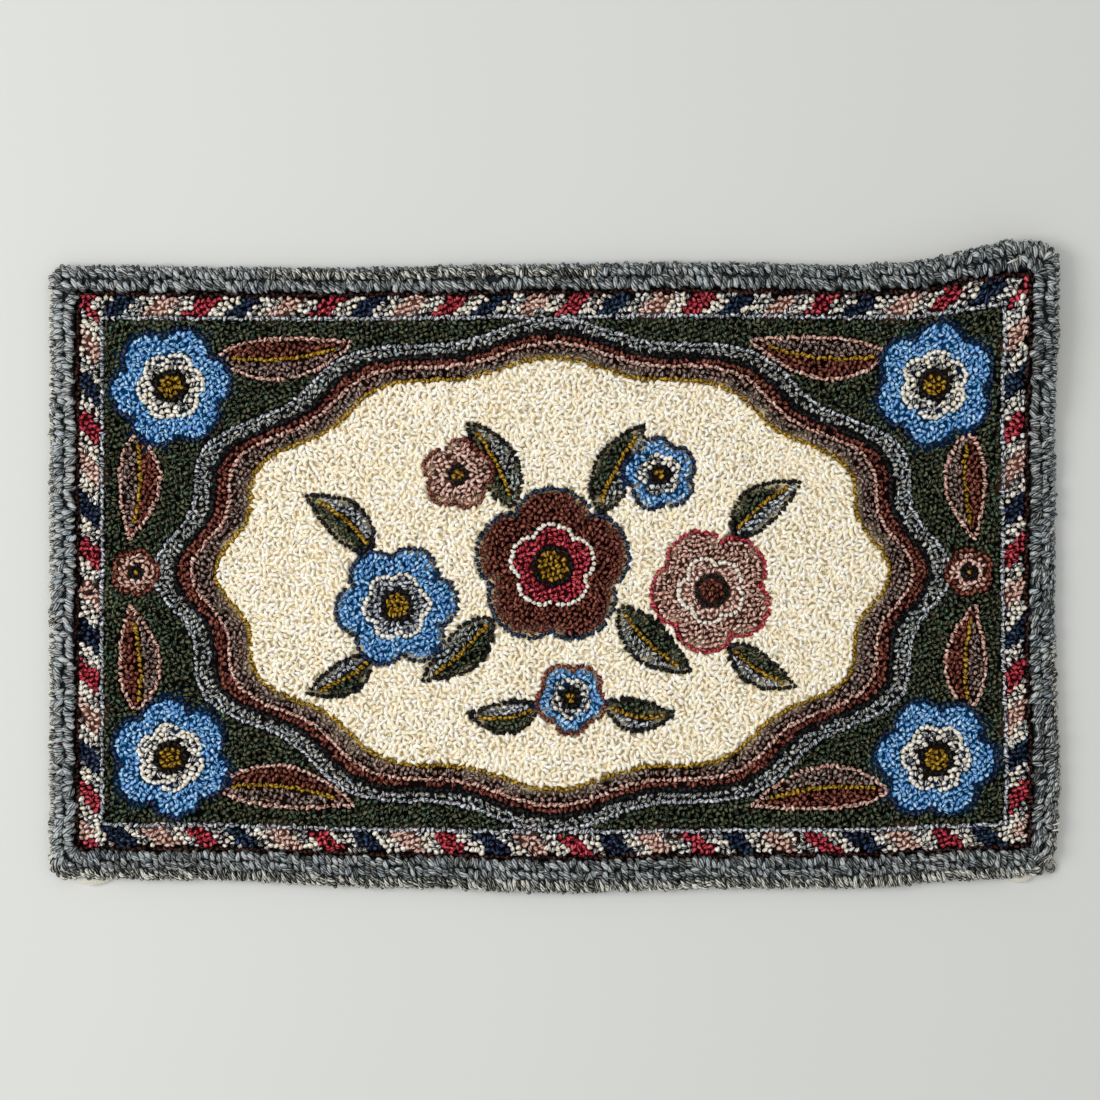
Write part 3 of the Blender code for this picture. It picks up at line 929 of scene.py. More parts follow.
def outline_at(inset):
    """Dense points of the rounded rectangle at an inset, counter-clockwise and closed."""
    quarter = np.linspace(0.0, np.pi / 2, CORNER_POINTS)
    x = []
    y = []
    for number, (side_x, side_y) in enumerate(((1, 1), (-1, 1), (-1, -1), (1, -1))):
        radius = corner_radius(side_x, side_y, inset)
        angle = quarter + number * np.pi / 2
        x.append(side_x * (LENGTH / 2 - inset - radius) + radius * np.cos(angle))
        y.append(side_y * (WIDTH / 2 - inset - radius) + radius * np.sin(angle))
    x = np.concatenate(x)
    y = np.concatenate(y)
    return np.append(x, x[0]), np.append(y, y[0])


def row_places(row):
    """The places of a row's loops, fanned out round the corners, and the way out over the rim."""
    x, y = outline_at(row.inset)
    x, y, along = evenly_spaced(x, y, row.pitch)
    count = len(x)
    fanned = np.unwrap(along)
    turns_ahead = np.concatenate((fanned[1:], [fanned[0] + 2 * np.pi]))
    turns_behind = np.concatenate(([fanned[-1] - 2 * np.pi], fanned[:-1]))
    out = (turns_behind + 2 * fanned + turns_ahead) / 4 - np.pi / 2
    wander = rng.normal(0.0, row.uneven, count) + on_sides(row.shifts, out)
    lean = row.lean + rng.normal(0.0, row.uneven, count)
    run = np.arange(count) * row.pitch
    wave = sum(np.sin(2 * np.pi * (run / length + rng.uniform())) for length in SLANT_LENGTHS)
    slant = wave * on_sides(SLANT_WAVE, out) + on_sides(row.slants, out)
    slant = slant - RIGHT_FAN * np.cos(out).clip(0.0) * y / (WIDTH / 2)
    spread = 1.0 + CORNER_SPREAD * np.abs(np.sin(2 * out))
    places = Places(
        x=x + np.cos(out) * wander,
        y=y + np.sin(out) * wander,
        turn=out + slant + rng.normal(0.0, row.curl, count),
        crest=row.crest + rng.normal(0.0, row.uneven, count),
        length=on_sides(row.lengths, out) * spread * rng.uniform(*BORDER_SPREAD, count),
        width=row.width * spread * rng.uniform(*BORDER_SPREAD, count),
        height=row.height * rng.uniform(*BORDER_HEIGHT_SPREAD, count),
        bow=rng.normal(0.0, BORDER_BOW, count),
        lean_x=np.cos(out) * lean,
        lean_y=np.sin(out) * lean,
    )
    return places, out


print("round the outer rib in m:", round(sum(np.hypot(*np.diff(outline_at(ROWS[1].inset)))), 3))

# %% Hook the edge, the ribs and the outline
BORDER_SIDES = 8
BORDER_STEPS = 7
BORDER_REACH = 0.00165
BORDER_THICKNESS = 0.00128
STRAND_LOBE = 0.20
STRAND_TWIST = -1.1
TWIST_STAGES = 4
# Painted light and shade by side: border loops lighter on the left, towards the key light, darker
# on the others
SIDE_PAINTED_LIGHT = Sides(-0.42, -0.32, 0.15, -0.42)
PLAIN_EDGE_TOP = 0.190
PLAIN_EDGE_RIGHT = -0.048
MARLED_RIB_MIDDLE = -0.08
MARLED_RIB_REACH = 0.11
MARLED_RIB_DARKER = 0.30


def picked(places, chosen):
    """Only the chosen places."""
    return Places(*(values[chosen] for values in places))


border_loops = []
for number in range(TWIST_STAGES):
    border_loops.append(spun_loop(BORDER_SIDES, BORDER_STEPS, BORDER_REACH, BORDER_THICKNESS,
                                  STRAND_LOBE, STRAND_TWIST, number / TWIST_STAGES))
border_pieces = {}
for row in ROWS:
    places, out = row_places(row)
    # Painted light and shade by side; the marled stretch of the outer rib is darker yarn as well
    lighter = on_sides(SIDE_PAINTED_LIGHT, out)
    marled = np.full(len(out), False)
    if row.name == "edge_loops":
        marled = (places.y < PLAIN_EDGE_TOP) & ((places.x < 0.0) | (places.y < PLAIN_EDGE_RIGHT))
    if row.name == "outer_rib_loops":
        from_middle = np.abs(places.x - MARLED_RIB_MIDDLE)
        marled = (places.y > PLAIN_EDGE_TOP) & (from_middle < MARLED_RIB_REACH)
        lighter = lighter - MARLED_RIB_DARKER * marled
    if marled.any():
        name = "marled_" + row.name
        border_pieces[name] = hooked(name, picked(places, marled), border_loops, lighter[marled])
    border_pieces[row.name] = hooked(
        row.name, picked(places, ~marled), border_loops, lighter[~marled])
outline_piece = hooked(OUTLINE.name, row_places(OUTLINE)[0], [field_loop])
print({name: len(piece.data.vertices) // len(border_loops[0].points)
       for name, piece in border_pieces.items()}, "loops in the rows")

# %% [markdown]
# Stray ends
#
# A rug that has been walked on has a few stray ends. One loop has come out at the worn corner
# and lies on its side, bits of pale thread are caught in the border, and there is one red bit
# of wool. The threads and the bit are the field's arch of yarn again, drawn longer or smaller.
# The loose loop is spun further round, so that it is nearly a ring, and turned onto its side.

# %% Lay the stray ends
Stray = namedtuple("Stray", "x y turn crest length width height")
LOOSE_TURN = math.radians(320)
LOOSE_REACH = 0.0026
LOOSE_THICKNESS = 0.0012
LOOSE_LOOP = Stray(0.3265, -0.1979, 1.30, 0.0034, 1.00, 1.00, 1.00)
CAUGHT_THREADS = (
    Stray(0.2978, 0.1896, 0.25, 0.0124, 2.60, 0.80, 0.60),
    Stray(0.3280, -0.1680, 0.25, 0.0101, 2.20, 0.65, 0.60),
    Stray(0.3277, -0.1723, 0.15, 0.0100, 1.90, 0.70, 0.60),
)
RED_BIT = Stray(-0.3227, -0.1130, 1.30, 0.0110, 0.80, 0.80, 0.80)


def stray_places(strays):
    """Stray ends as places, with no bow and no lean."""
    columns = [np.array(values) for values in zip(*strays)]
    none = np.zeros(len(strays))
    return Places(*columns, none, none, none)


ring = spun_loop(BORDER_SIDES, 2 * BORDER_STEPS, LOOSE_REACH, LOOSE_THICKNESS,
                 STRAND_LOBE, 2 * STRAND_TWIST, turn=LOOSE_TURN)
ring_x, ring_y, ring_z = ring.points.T
lying_loop = ring._replace(points=np.stack((ring_x, -ring_z, ring_y), axis=-1))
loose_loop = hooked("loose_loop", stray_places([LOOSE_LOOP]), [lying_loop])
caught_threads = hooked("caught_threads", stray_places(CAUGHT_THREADS), [field_loop])
red_bit = hooked("red_bit", stray_places([RED_BIT]), [field_loop])
print("loose loop, mm:", [round(side * 1000, 1) for side in loose_loop.dimensions])

# %% [markdown]
# Under the loops
#
# Between the loops one looks down on more wool: the feet of the loops, packed tight and in
# shadow. A low lumpy bed stands for them, in the same yarns' dark tones with painted shade on
# them. Under the bed lies the cloth itself, folded under at its edges into a hem, with two spots
# where the fold has slipped out past the bottom row and shows as a cream sliver.
#
# Both are closed slabs on a grid of lines that crowd together near the rim.

# %% Lay a closed slab on a grid of lines
def grid_lines(half, insets, spacing):
    """Lines at the rim insets on both sides and evenly between them."""
    rim = half - np.array(insets)
    count = math.ceil(2 * rim[-1] / spacing) + 1
    return np.concatenate((-rim[:-1], np.linspace(-rim[-1], rim[-1], count), rim[:-1][::-1]))


def round_corner(x, y, inset):
    """Draws the square corners of a slab that starts at an inset in to round ones."""
    radius = corner_radius(x, y, inset)
    start_x = LENGTH / 2 - inset - radius
    start_y = WIDTH / 2 - inset - radius
    share_x = np.clip((np.abs(x) - start_x) / radius, 0.0, 1.0)
    share_y = np.clip((np.abs(y) - start_y) / radius, 0.0, 1.0)
    round_x = np.sign(x) * (start_x + radius * share_x * np.sqrt(1.0 - share_y ** 2 / 2))
    round_y = np.sign(y) * (start_y + radius * share_y * np.sqrt(1.0 - share_x ** 2 / 2))
    both = (share_x > 0.0) & (share_y > 0.0)
    return np.where(both, round_x, x), np.where(both, round_y, y)


def slab(name, insets, spacing, under, over, slip=None):
    """A closed slab that lies on the rug. Under and over give its heights at an inset."""
    lines_x = grid_lines(LENGTH / 2, insets, spacing)
    lines_y = grid_lines(WIDTH / 2, insets, spacing)
    shape = bmesh.new()
    bmesh.ops.create_grid(shape, x_segments=len(lines_x) - 1, y_segments=len(lines_y) - 1, size=1.0)
    made = bmesh.ops.extrude_face_region(shape, geom=shape.faces[:])
    lifted = [item for item in made["geom"] if isinstance(item, bmesh.types.BMVert)]
    bmesh.ops.translate(shape, verts=lifted, vec=(0.0, 0.0, 1.0))
    bmesh.ops.recalc_face_normals(shape, faces=shape.faces)
    unit = np.array([vertex.co for vertex in shape.verts])
    column = np.rint((unit[:, 0] + 1.0) / 2 * (len(lines_x) - 1)).astype(int)
    row = np.rint((unit[:, 1] + 1.0) / 2 * (len(lines_y) - 1)).astype(int)
    line_x = lines_x[column]
    line_y = lines_y[row]
    inset = np.minimum(LENGTH / 2 - np.abs(line_x), WIDTH / 2 - np.abs(line_y))
    x, y = round_corner(line_x, line_y, insets[0])
    height = np.where(unit[:, 2] > 0.5, over(inset), under(inset))
    points = settle(x, y, height)
    if slip is not None:
        points[row == 0, 1] -= slip(x[row == 0])
    for vertex, point in zip(shape.verts, points):
        vertex.co = point
    mesh = bpy.data.meshes.new(name)
    shape.to_mesh(mesh)
    shape.free()
    mesh.shade_smooth()
    piece = bpy.data.objects.new(name, mesh)
    bpy.context.collection.objects.link(piece)
    return piece, x, y, inset


lines = grid_lines(WIDTH / 2, (0.0, FIELD_INSET), FIELD_INSET)
print("lines across the rug, a field inset apart, in mm:", np.round(lines * 1000))

# %% How thick the cloth is
CLOTH_THICKNESS = 0.0015
HEM_THICKNESS = 0.0028
HEM_END_INSET = 0.0205
HEM_SLOPE = 0.001


def cloth_top(inset):
    """The cloth's face: two layers thick over the hem, and one inside it."""
    hem_share = ease((HEM_END_INSET - inset) / HEM_SLOPE)
    return CLOTH_THICKNESS + (HEM_THICKNESS - CLOTH_THICKNESS) * hem_share


print("the cloth's face lies", round(float(cloth_top(0.0)) * 1000, 1), "mm up over the hem and",
      round(float(cloth_top(FIELD_INSET)) * 1000, 1), "mm in the field")

# %% The bed of feet
BED_SPACING = 0.0085
GAP = 0.0003

BedHeight = namedtuple("BedHeight", "inset height")
BED_HEIGHTS = (
    BedHeight(0.0020, 0.0042),
    BedHeight(0.0040, 0.0058),
    BedHeight(0.0070, 0.0064),
    BedHeight(0.0150, 0.0064),
    BedHeight(0.0172, 0.0040),
    BedHeight(0.0205, 0.0038),
    BedHeight(0.0240, 0.0053),
)


def bed_top(inset):
    """Height of the bed under each row."""
    insets = [row.inset for row in BED_HEIGHTS]
    heights = [row.height for row in BED_HEIGHTS]
    return np.interp(inset, insets, heights)


def bed_foot(inset):
    """The bed starts just over the cloth."""
    return cloth_top(inset) + GAP


bed_insets = [row.inset for row in BED_HEIGHTS]
bed, bed_x, bed_y, bed_inset = slab("loop_feet", bed_insets, BED_SPACING, bed_foot, bed_top)
print("faces in the bed:", len(bed.data.polygons))

# %% The cloth and its hem
CLOTH_SPACING = 0.007
HEM_FOLD_INSET = 0.0028
FOLD_WIDTH = 0.0092
FOLD_SHARES = (0.0, 0.3, 0.65, 1.0)

Slip = namedtuple("Slip", "along half_width out")
CLOTH_SLIPS = (
    Slip(-0.302, 0.026, 0.0082),
    Slip(0.307, 0.018, 0.0082),
)


def cloth_underside(inset):
    """The cloth's underside lies on the floor."""
    return np.zeros_like(inset)


def cloth_slip(x):
    """How far the hem's fold has slipped out past its usual place, along the bottom edge."""
    out = np.zeros_like(x)
    for slip in CLOTH_SLIPS:
        out += slip.out * ease(1.0 - np.abs(x - slip.along) / slip.half_width)
    return out


cloth_insets = [HEM_FOLD_INSET + share * FOLD_WIDTH for share in FOLD_SHARES]
cloth_insets += [HEM_END_INSET - HEM_SLOPE, HEM_END_INSET]
cloth = slab("backing_cloth", cloth_insets, CLOTH_SPACING,
             cloth_underside, cloth_top, cloth_slip)[0]
print("faces in the cloth:", len(cloth.data.polygons))

# %% [markdown]
# Wool
#
# The look of wool comes from many small uneven things: each loop a shade lighter or darker than
# the next, short fibres of several tones, painted shade in the line where two strands meet and
# at each loop's feet and sides, and a soft sheen.
# A little shader arithmetic gives all of them. To keep it readable, a class wraps a socket so
# that plain Python sums build the nodes.

# %% A colour code as a shader wants it
def linear(code):
    """A colour code as the four linear numbers that a shader wants, by the sRGB curve."""
    values = [int(code[place:place + 2], 16) / 255 for place in (1, 3, 5)]
    straight = [v / 12.92 if v < 0.04045 else ((v + 0.055) / 1.055) ** 2.4 for v in values]
    return (*straight, 1.0)


print("white is", linear("#ffffff"), "and mid grey is", round(linear("#808080")[0], 3))

# %% Shader sums in plain Python
SHUFFLE = 57.3


class Level:
    """A number that varies over a surface, for use in sums."""

    def __init__(self, tree, socket):
        self.tree = tree
        self.socket = socket

    def maths(self, operation, first, second=0.0, clamp=False):
        """One Math node, fed with numbers or levels."""
        node = self.tree.nodes.new("ShaderNodeMath")
        node.operation = operation
        node.use_clamp = clamp
        for place, term in enumerate((first, second)):
            if isinstance(term, Level):
                self.tree.links.new(term.socket, node.inputs[place])
            else:
                node.inputs[place].default_value = term
        return Level(self.tree, node.outputs["Value"])

    def __add__(self, other):
        return self.maths("ADD", self, other)

    __radd__ = __add__

    def __mul__(self, other):
        return self.maths("MULTIPLY", self, other)

    __rmul__ = __mul__

    def __sub__(self, other):
        return self.maths("SUBTRACT", self, other)

    def __rsub__(self, other):
        return self.maths("SUBTRACT", other, self)

    def __pow__(self, other):
        return self.maths("POWER", self, other)

    def wave(self):
        """Goes from 0 up to 1 and back each time the level grows by 1."""
        cosine = self.maths("COSINE", self * (2 * math.pi))
        return 0.5 - 0.5 * cosine

    def kept(self):
        """The level, kept between 0 and 1."""
        return self.maths("ADD", self, 0.0, clamp=True)

    def size(self):
        """The level without its sign."""
        return self.maths("ABSOLUTE", self)

    def shuffled(self):
        """A level between 0 and 1 that has nothing in common with this one."""
        return self.maths("FRACT", self * SHUFFLE)


print("shader sums:", [name for name in vars(Level) if not name.startswith("_")])

# %% A material that is built node by node
class Finish:
    """A new material, with one method that adds any node to it."""

    def __init__(self, name):
        self.material = bpy.data.materials.new(name)
        self.material.use_nodes = True
        self.tree = self.material.node_tree
        self.surface = self.tree.nodes["Principled BSDF"]

    def add(self, kind, settings=None, values=None):
        """Adds a node, makes its settings first, then sets or links its inputs."""
        node = self.tree.nodes.new(kind)
        for key, setting in (settings or {}).items():
            if key == "stops":
                ramp = node.color_ramp.elements
                while len(ramp) < len(setting):
                    ramp.new(1.0)
                for element, (position, colour) in zip(ramp, setting):
                    element.position = position
                    element.color = colour
            else:
                setattr(node, key, setting)
        for key, value in (values or {}).items():
            self.give(node.inputs[key], value)
        return node

    def give(self, socket, value):
        """Sets a socket to a value, or links it to a level or another socket."""
        if isinstance(value, Level):
            self.tree.links.new(value.socket, socket)
        elif isinstance(value, bpy.types.NodeSocket):
            self.tree.links.new(value, socket)
        else:
            socket.default_value = value

    def level(self, socket):
        """A socket as a level, for sums."""
        return Level(self.tree, socket)

    def attribute(self, name):
        """A number that each point of the mesh holds, as a level."""
        return self.level(self.add("ShaderNodeAttribute", {"attribute_name": name}).outputs["Fac"])

    def mixed(self, first, second, share, blend="MIX"):
        """Two colours mixed."""
        node = self.add("ShaderNodeMix", {"data_type": "RGBA", "blend_type": blend})
        self.give(node.inputs["Factor"], share)
        self.give(node.inputs[6], first)
        self.give(node.inputs[7], second)
        return node.outputs[2]


print("a finish can", [name for name in vars(Finish) if not name.startswith("_")])

# %% What makes the wool light, dark and rough
FLECK_SCALE = 850.0
FIBRE_SCALE = 26.0
WOOL_ROUGHNESS = 0.86
WOOL_SHEEN = 0.01
WOOL_GLOSS = 0.04
SHEEN_ROUGHNESS = 0.5
FIELD_TWIST = -0.8
TOP_OF_YARN = 0.5
SIDE_START = 0.10
SIDE_WIDTH = 0.20
# How light the wool is, and how much each thing lightens or darkens it
SHADE = 0.72
TONE_SHADE = 0.30
FIBRE_SHADE = 0.70
FLECK_SHADE = 0.50
STRAND_SHADE = 0.40
STROKE_SHADE = 0.34
STROKE_MARL = 0.42
GROOVE_LIFT = 0.06
GROOVE_SHARPNESS = 4.0
# Painted shade towards each loop's feet and along the sides of its yarn
FOOT_PAINTED_SHADE = 1.0
SIDE_PAINTED_SHADE = 0.24
# Where on that scale the yarn's three tones lie, and how much of it drifts or is flecked
DARK_STOP = 0.02
MIDDLE_STOP = 0.52
LIGHT_STOP = 0.98
DRIFT_START = 0.45
DRIFT_STEEPNESS = 1.5
ODD_START = 0.60
ODD_STEEPNESS = 12.0
ODD_AMOUNT = 3.0
ODD_COARSER = 0.45
# How the fibres run, and how far each thing stands up or roughens the wool
FIBRE_ALONG = 5.0
FIBRE_SHUFFLE = (60.0, 17.0)
STROKE_BREAK = 1.5
FIBRE_RELIEF = 0.35
STROKE_RELIEF = 0.25
GROOVE_RELIEF = 0.8
FLECK_RELIEF = 0.15
ROUGHNESS_UNEVEN = 0.2
print("the wool's three tones lie at", DARK_STOP, MIDDLE_STOP, LIGHT_STOP)

# %% The wool of each yarn
def wool(name, yarn, twist=FIELD_TWIST, strokes=4.0, bump=0.0006, painted_groove_shade=0.62):
    """Twisted wool, read along and round each loop of yarn. Strokes are its fine strands.

    Painted groove shade is how dark the shade painted in the groove between its two strands is.
    """
    finish = Finish(name)
    place = finish.add("ShaderNodeTexCoord").outputs["Object"]
    tone = finish.attribute("tone")
    rise = finish.attribute("rise")
    yarn_map = finish.add("ShaderNodeUVMap", {"uv_map": "yarn"}).outputs["UV"]
    split = finish.add("ShaderNodeSeparateXYZ", values={"Vector": yarn_map})
    along = finish.level(split.outputs["X"])
    round_yarn = finish.level(split.outputs["Y"])
    side = (((round_yarn - TOP_OF_YARN).size() - SIDE_START) * (1.0 / SIDE_WIDTH)).kept()
    turned = round_yarn - twist * along - finish.attribute("stage")
    groove = (2.0 * turned).wave() ** GROOVE_SHARPNESS
    strand = 1.0 - turned.wave()
    flecks = finish.add("ShaderNodeTexNoise", values={"Vector": place, "Scale": FLECK_SCALE,
                                                      "Detail": 2.0, "Roughness": 0.6})
    fleck = finish.level(flecks.outputs["Fac"])
    fibre_place = finish.add("ShaderNodeCombineXYZ", values={
        "X": turned * FIBRE_SCALE, "Y": along * FIBRE_ALONG + tone * FIBRE_SHUFFLE[0],
        "Z": tone * FIBRE_SHUFFLE[1]})
    fibres = finish.add("ShaderNodeTexNoise", values={"Vector": fibre_place.outputs["Vector"],
                                                      "Scale": 1.0, "Detail": 1.0})
    fibre = finish.level(fibres.outputs["Fac"])
    stroke = (strokes * turned + fibre * STROKE_BREAK).wave()
    shade = SHADE + (tone - 0.5) * TONE_SHADE + (fibre - 0.5) * FIBRE_SHADE
    shade = shade + (fleck - 0.5) * FLECK_SHADE + (strand - 0.5) * (STRAND_SHADE * yarn.marl)
    shade = shade + (stroke - 0.5) * (STROKE_SHADE + STROKE_MARL * yarn.marl)
    # Painted shade in the groove between the yarn's two strands
    shade = shade + GROOVE_LIFT - groove * painted_groove_shade
    # Painted shade: darker towards each loop's feet and along the sides of its yarn
    shade = shade - ((1.0 - rise) ** 2.0) * FOOT_PAINTED_SHADE - side * SIDE_PAINTED_SHADE
    stops = ((DARK_STOP, linear(yarn.dark)), (MIDDLE_STOP, linear(yarn.middle)),
             (LIGHT_STOP, linear(yarn.light)))
    ramp = finish.add("ShaderNodeValToRGB", {"stops": stops}, {"Fac": shade.kept()})
    drift = ((tone.shuffled() - DRIFT_START) * DRIFT_STEEPNESS).kept()
    drifted = finish.mixed(ramp.outputs["Color"], linear(yarn.other), drift, "COLOR")
    odd = finish.add("ShaderNodeTexNoise", values={"Vector": place, "Detail": 1.0,
                                                   "Scale": FLECK_SCALE * ODD_COARSER})
    odd_share = ((finish.level(odd.outputs["Fac"]) - ODD_START) * ODD_STEEPNESS).kept()
    odd_share = (odd_share * (yarn.flecked * ODD_AMOUNT)).kept()
    colour = finish.mixed(drifted, linear(yarn.fleck), odd_share)
    relief = fibre * FIBRE_RELIEF + stroke * STROKE_RELIEF
    relief = relief - groove * GROOVE_RELIEF + fleck * FLECK_RELIEF
    bumped = finish.add("ShaderNodeBump", values={"Strength": 0.8, "Distance": bump,
                                                  "Height": relief})
    finish.give(finish.surface.inputs["Base Color"], colour)
    roughness = WOOL_ROUGHNESS + (fibre - 0.5) * ROUGHNESS_UNEVEN
    finish.give(finish.surface.inputs["Roughness"], roughness)
    finish.give(finish.surface.inputs["Normal"], bumped.outputs["Normal"])
    finish.give(finish.surface.inputs["Sheen Weight"], WOOL_SHEEN)
    finish.give(finish.surface.inputs["Sheen Roughness"], SHEEN_ROUGHNESS)
    finish.give(finish.surface.inputs["Specular IOR Level"], WOOL_GLOSS)
    return finish.material


wools = {name: wool(f"{name}_wool", yarn) for name, yarn in YARNS.items()}
# The border's thicker yarn has less painted shade in the groove between its strands
thick_yarn = {"twist": STRAND_TWIST, "strokes": 6.0, "bump": 0.0005, "painted_groove_shade": 0.41}
border_wool = wool("border_wool", BORDER_YARN, **thick_yarn)
edge_wool = wool("edge_wool", EDGE_YARN, **thick_yarn)
outline_wool = wool("outline_wool", OUTLINE_YARN)
print(len(wools) + 3, "wools")

# %% Dress the loops in their wools
for piece_name, piece in field_pieces.items():
    piece.data.materials.append(wools[piece_name.split("_")[0]])
for piece_name, piece in border_pieces.items():
    piece.data.materials.append(edge_wool if piece_name.startswith("marled") else border_wool)
outline_piece.data.materials.append(outline_wool)
loose_loop.data.materials.append(edge_wool)
caught_threads.data.materials.append(wools["white"])
red_bit.data.materials.append(wools["crimson"])
print(len(field_pieces) + len(border_pieces) + 4, "pieces of loops dressed")

# %% The loop feet in shadow
# Painted shade on the bed: its colours darkened, and mixed with black where the lumps are low
FEET_PAINTED_SHADE = 0.80
OUTLINE_FEET_START = 0.0165
OUTLINE_FEET_END = 0.0215
FEET_SHADOW = 0.85
FEET_SHADOW_STEEPNESS = 1.6
FEET_ROUGHNESS = 0.9
FEET_ROUGHNESS_UNEVEN = 0.1


def feet_colours():
    """The bed's colour at each of its points: its loops' dark tone, darker still as painted shade.
    """
    field = rim_depth(bed_x, bed_y) > 0.0
    darks = np.array([linear(YARNS[name].dark)[:3] for name in YARN_NAMES])
    border_tones = [linear(BORDER_YARN.dark)[:3], linear(BORDER_YARN.fleck)[:3]]
    colours = np.tile(np.mean(border_tones, axis=0), (len(bed_x), 1))
    colours[field] = darks[yarn_at(bed_x, bed_y)][field]
    outline = (bed_inset > OUTLINE_FEET_START) & (bed_inset < OUTLINE_FEET_END)
    colours[outline] = linear(OUTLINE_YARN.dark)[:3]
    return np.column_stack((colours * FEET_PAINTED_SHADE, np.ones(len(colours))))


def feet_finish():
    """Packed wool in shadow, in the colours that the bed's points hold."""
    finish = Finish("loop_feet")
    place = finish.add("ShaderNodeTexCoord").outputs["Object"]
    yarns = finish.add("ShaderNodeAttribute", {"attribute_name": "feet"})
    lumps = finish.add("ShaderNodeTexNoise", values={"Vector": place, "Scale": 600.0,
                                                     "Detail": 3.0})
    lump = finish.level(lumps.outputs["Fac"])
    shadow = (FEET_SHADOW - lump * FEET_SHADOW_STEEPNESS).kept()
    colour = finish.mixed(yarns.outputs["Color"], linear("#000000"), shadow)
    bumped = finish.add("ShaderNodeBump", values={"Strength": 0.8, "Distance": 0.0008,
                                                  "Height": lump})
    finish.give(finish.surface.inputs["Base Color"], colour)
    roughness = FEET_ROUGHNESS + (lump - 0.5) * FEET_ROUGHNESS_UNEVEN
    finish.give(finish.surface.inputs["Roughness"], roughness)
    finish.give(finish.surface.inputs["Specular IOR Level"], WOOL_GLOSS)
    finish.give(finish.surface.inputs["Normal"], bumped.outputs["Normal"])
    return finish.material


feet = feet_colours()
set_attribute(bed.data, "feet", "FLOAT_COLOR", "color", feet)
bed.data.materials.append(feet_finish())
print("tones among the feet:", len(np.unique(feet, axis=0)))

# %% The woven cloth
CLOTH_THREADS = 850.0
WEAVE_SHARPNESS = 8.0
WEAVE_SHADE = 0.7
SLUB_SHADE = 0.5
THREAD_DARKER = 0.1
CLOTH_ROUGHNESS = 0.88
CLOTH_ROUGHNESS_UNEVEN = 0.16


def cloth_finish():
    """Plain woven cream cloth, threads over and under each other."""
    finish = Finish("foundation_cloth")
    place = finish.add("ShaderNodeTexCoord").outputs["Object"]
    split = finish.add("ShaderNodeSeparateXYZ", values={"Vector": place})
    across = finish.level(split.outputs["X"]) * CLOTH_THREADS
    along = finish.level(split.outputs["Y"]) * CLOTH_THREADS
    warp = across.wave()
    weft = along.wave()
    checks = ((across * 0.5).wave() - 0.5) * ((along * 0.5).wave() - 0.5)
    over = (checks * WEAVE_SHARPNESS + 0.5).kept()
    weave = warp * over + weft * (1.0 - over)
    slubs = finish.add("ShaderNodeTexNoise", values={"Vector": place, "Scale": 240.0,
                                                     "Detail": 4.0})
    slub = finish.level(slubs.outputs["Fac"])
    shade = (weave * WEAVE_SHADE + slub * SLUB_SHADE - THREAD_DARKER).kept()
    colour = finish.mixed(linear("#ddd3ba"), linear("#fcf9ef"), shade)
    bumped = finish.add("ShaderNodeBump", values={"Strength": 0.7, "Distance": 0.0004,
                                                  "Height": weave})
    finish.give(finish.surface.inputs["Base Color"], colour)
    roughness = CLOTH_ROUGHNESS + (slub - 0.5) * CLOTH_ROUGHNESS_UNEVEN
    finish.give(finish.surface.inputs["Roughness"], roughness)
    finish.give(finish.surface.inputs["Normal"], bumped.outputs["Normal"])
    return finish.material


cloth.data.materials.append(cloth_finish())
print("threads in the cloth to a centimetre:", CLOTH_THREADS / 100)

# %% [markdown]
# Join the finished pieces to the packed rug
#
# Every piece rides on the rug's one body.
# The loops and their bed stand for the packed pile, and the woven cloth for the packed cloth.

# %% Ride and replace
for piece in list(field_pieces.values()) + [bed]:
    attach(piece, "root")
    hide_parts("field_pile")
NODES_AND_SLOTS = {
    "edge_loops": ("edge_row", "edge_wool"),
    "marled_edge_loops": ("edge_row", "edge_wool"),
    "marled_outer_rib_loops": ("border_pile", "edge_wool"),
    "outer_rib_loops": ("border_pile", "border_wool"),
    "inner_rib_loops": ("border_pile", "border_wool"),
}
for name, (node, slot) in NODES_AND_SLOTS.items():
    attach(border_pieces[name], "root")
    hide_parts(node)
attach(outline_piece, "root")
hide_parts("outline_row")
strays = [loose_loop, caught_threads, red_bit]
for piece in strays:
    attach(piece, "root")
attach(cloth, "root")
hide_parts("foundation")

# %% [markdown]
# Camera, light and floor
#
# The rug was pictured from straight above with a long lens, so it shows no perspective. The
# picture is 1100 pixels wide, and the rug's length in it gives the width of floor that it
# takes in. The light is a big soft one from the left, with a paler one overhead.

# %% The camera
PICTURE_PIXELS = 1100
METRES_PER_PIXEL = 0.0006535
RUG_CENTRE_PIXEL = (554.5, 566.5)
LENS = 85.0
SENSOR = 36.0
PILE_HEIGHT = 0.008

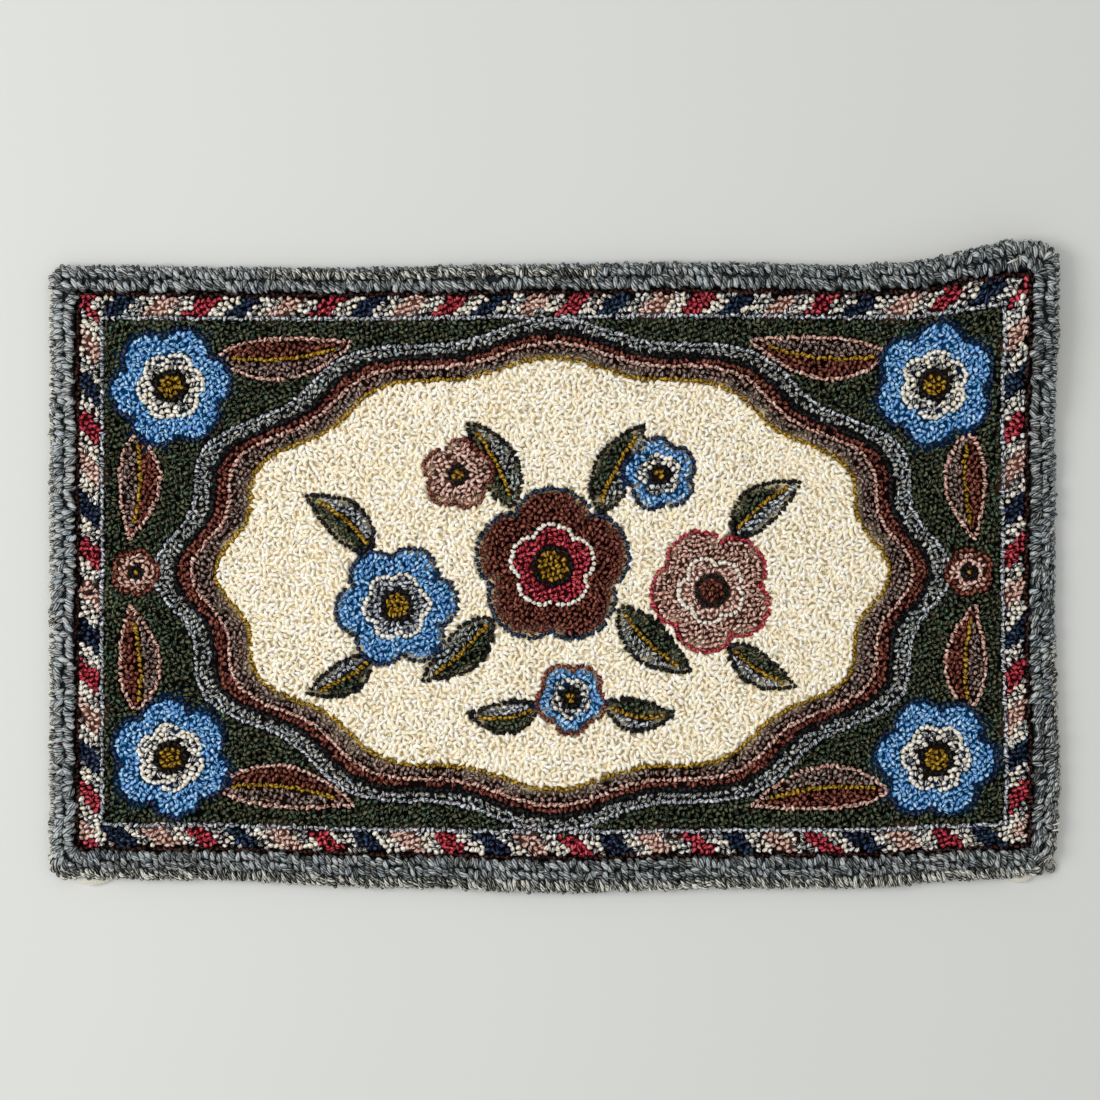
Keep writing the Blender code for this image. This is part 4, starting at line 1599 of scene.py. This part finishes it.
picture_width = PICTURE_PIXELS * METRES_PER_PIXEL
camera_data = bpy.data.cameras.new("camera")
camera_data.lens = LENS
camera_data.sensor_width = SENSOR
camera = bpy.data.objects.new("camera", camera_data)
camera.location = (
    (PICTURE_PIXELS / 2 - RUG_CENTRE_PIXEL[0]) * METRES_PER_PIXEL,
    (RUG_CENTRE_PIXEL[1] - PICTURE_PIXELS / 2) * METRES_PER_PIXEL,
    picture_width * LENS / SENSOR + PILE_HEIGHT,
)
bpy.context.collection.objects.link(camera)
bpy.context.scene.camera = camera
print("camera at", [round(v, 4) for v in camera.location], "sees", round(picture_width, 4), "m")

# %% The light
STUDIO_COLOUR = (0.98, 0.99, 0.98, 1.0)
STUDIO_STRENGTH = 0.62


def soft_light(name, place, size, power):
    """A square soft light that faces the rug."""
    data = bpy.data.lights.new(name, "AREA")
    data.size = size
    data.energy = power
    light = bpy.data.objects.new(name, data)
    light.location = place
    light.rotation_euler = (-Vector(place)).to_track_quat("-Z", "Y").to_euler()
    bpy.context.collection.objects.link(light)


soft_light("key_light", place=(-1.75, 0.1, 1.7), size=1.3, power=34.0)
soft_light("overhead_light", place=(0.0, 0.3, 2.6), size=2.4, power=10.0)

world = bpy.data.worlds.new("studio")
world.use_nodes = True
background = world.node_tree.nodes["Background"]
background.inputs["Color"].default_value = STUDIO_COLOUR
background.inputs["Strength"].default_value = STUDIO_STRENGTH
bpy.context.scene.world = world
bpy.context.scene.view_settings.view_transform = "Standard"
print(len(bpy.data.lights), "soft lights in a pale studio")

# %% The floor
FLOOR_HALF = 6.0
FLOOR_DROP = 0.0004

floor_shape = bmesh.new()
bmesh.ops.create_grid(floor_shape, x_segments=1, y_segments=1, size=FLOOR_HALF)
bmesh.ops.translate(floor_shape, verts=floor_shape.verts, vec=(0.0, 0.0, -FLOOR_DROP))
floor_mesh = bpy.data.meshes.new("floor")
floor_shape.to_mesh(floor_mesh)
floor_shape.free()
floor = bpy.data.objects.new("floor", floor_mesh)
bpy.context.collection.objects.link(floor)
floor_paint = Finish("pale_floor")
floor_paint.give(floor_paint.surface.inputs["Base Color"], linear("#cecfcc"))
floor_paint.give(floor_paint.surface.inputs["Roughness"], 0.8)
floor_mesh.materials.append(floor_paint.material)
print("floor", 2 * FLOOR_HALF, "m wide")

# %% [markdown]
# The finished rug may stand proud of the packed one by only a little.
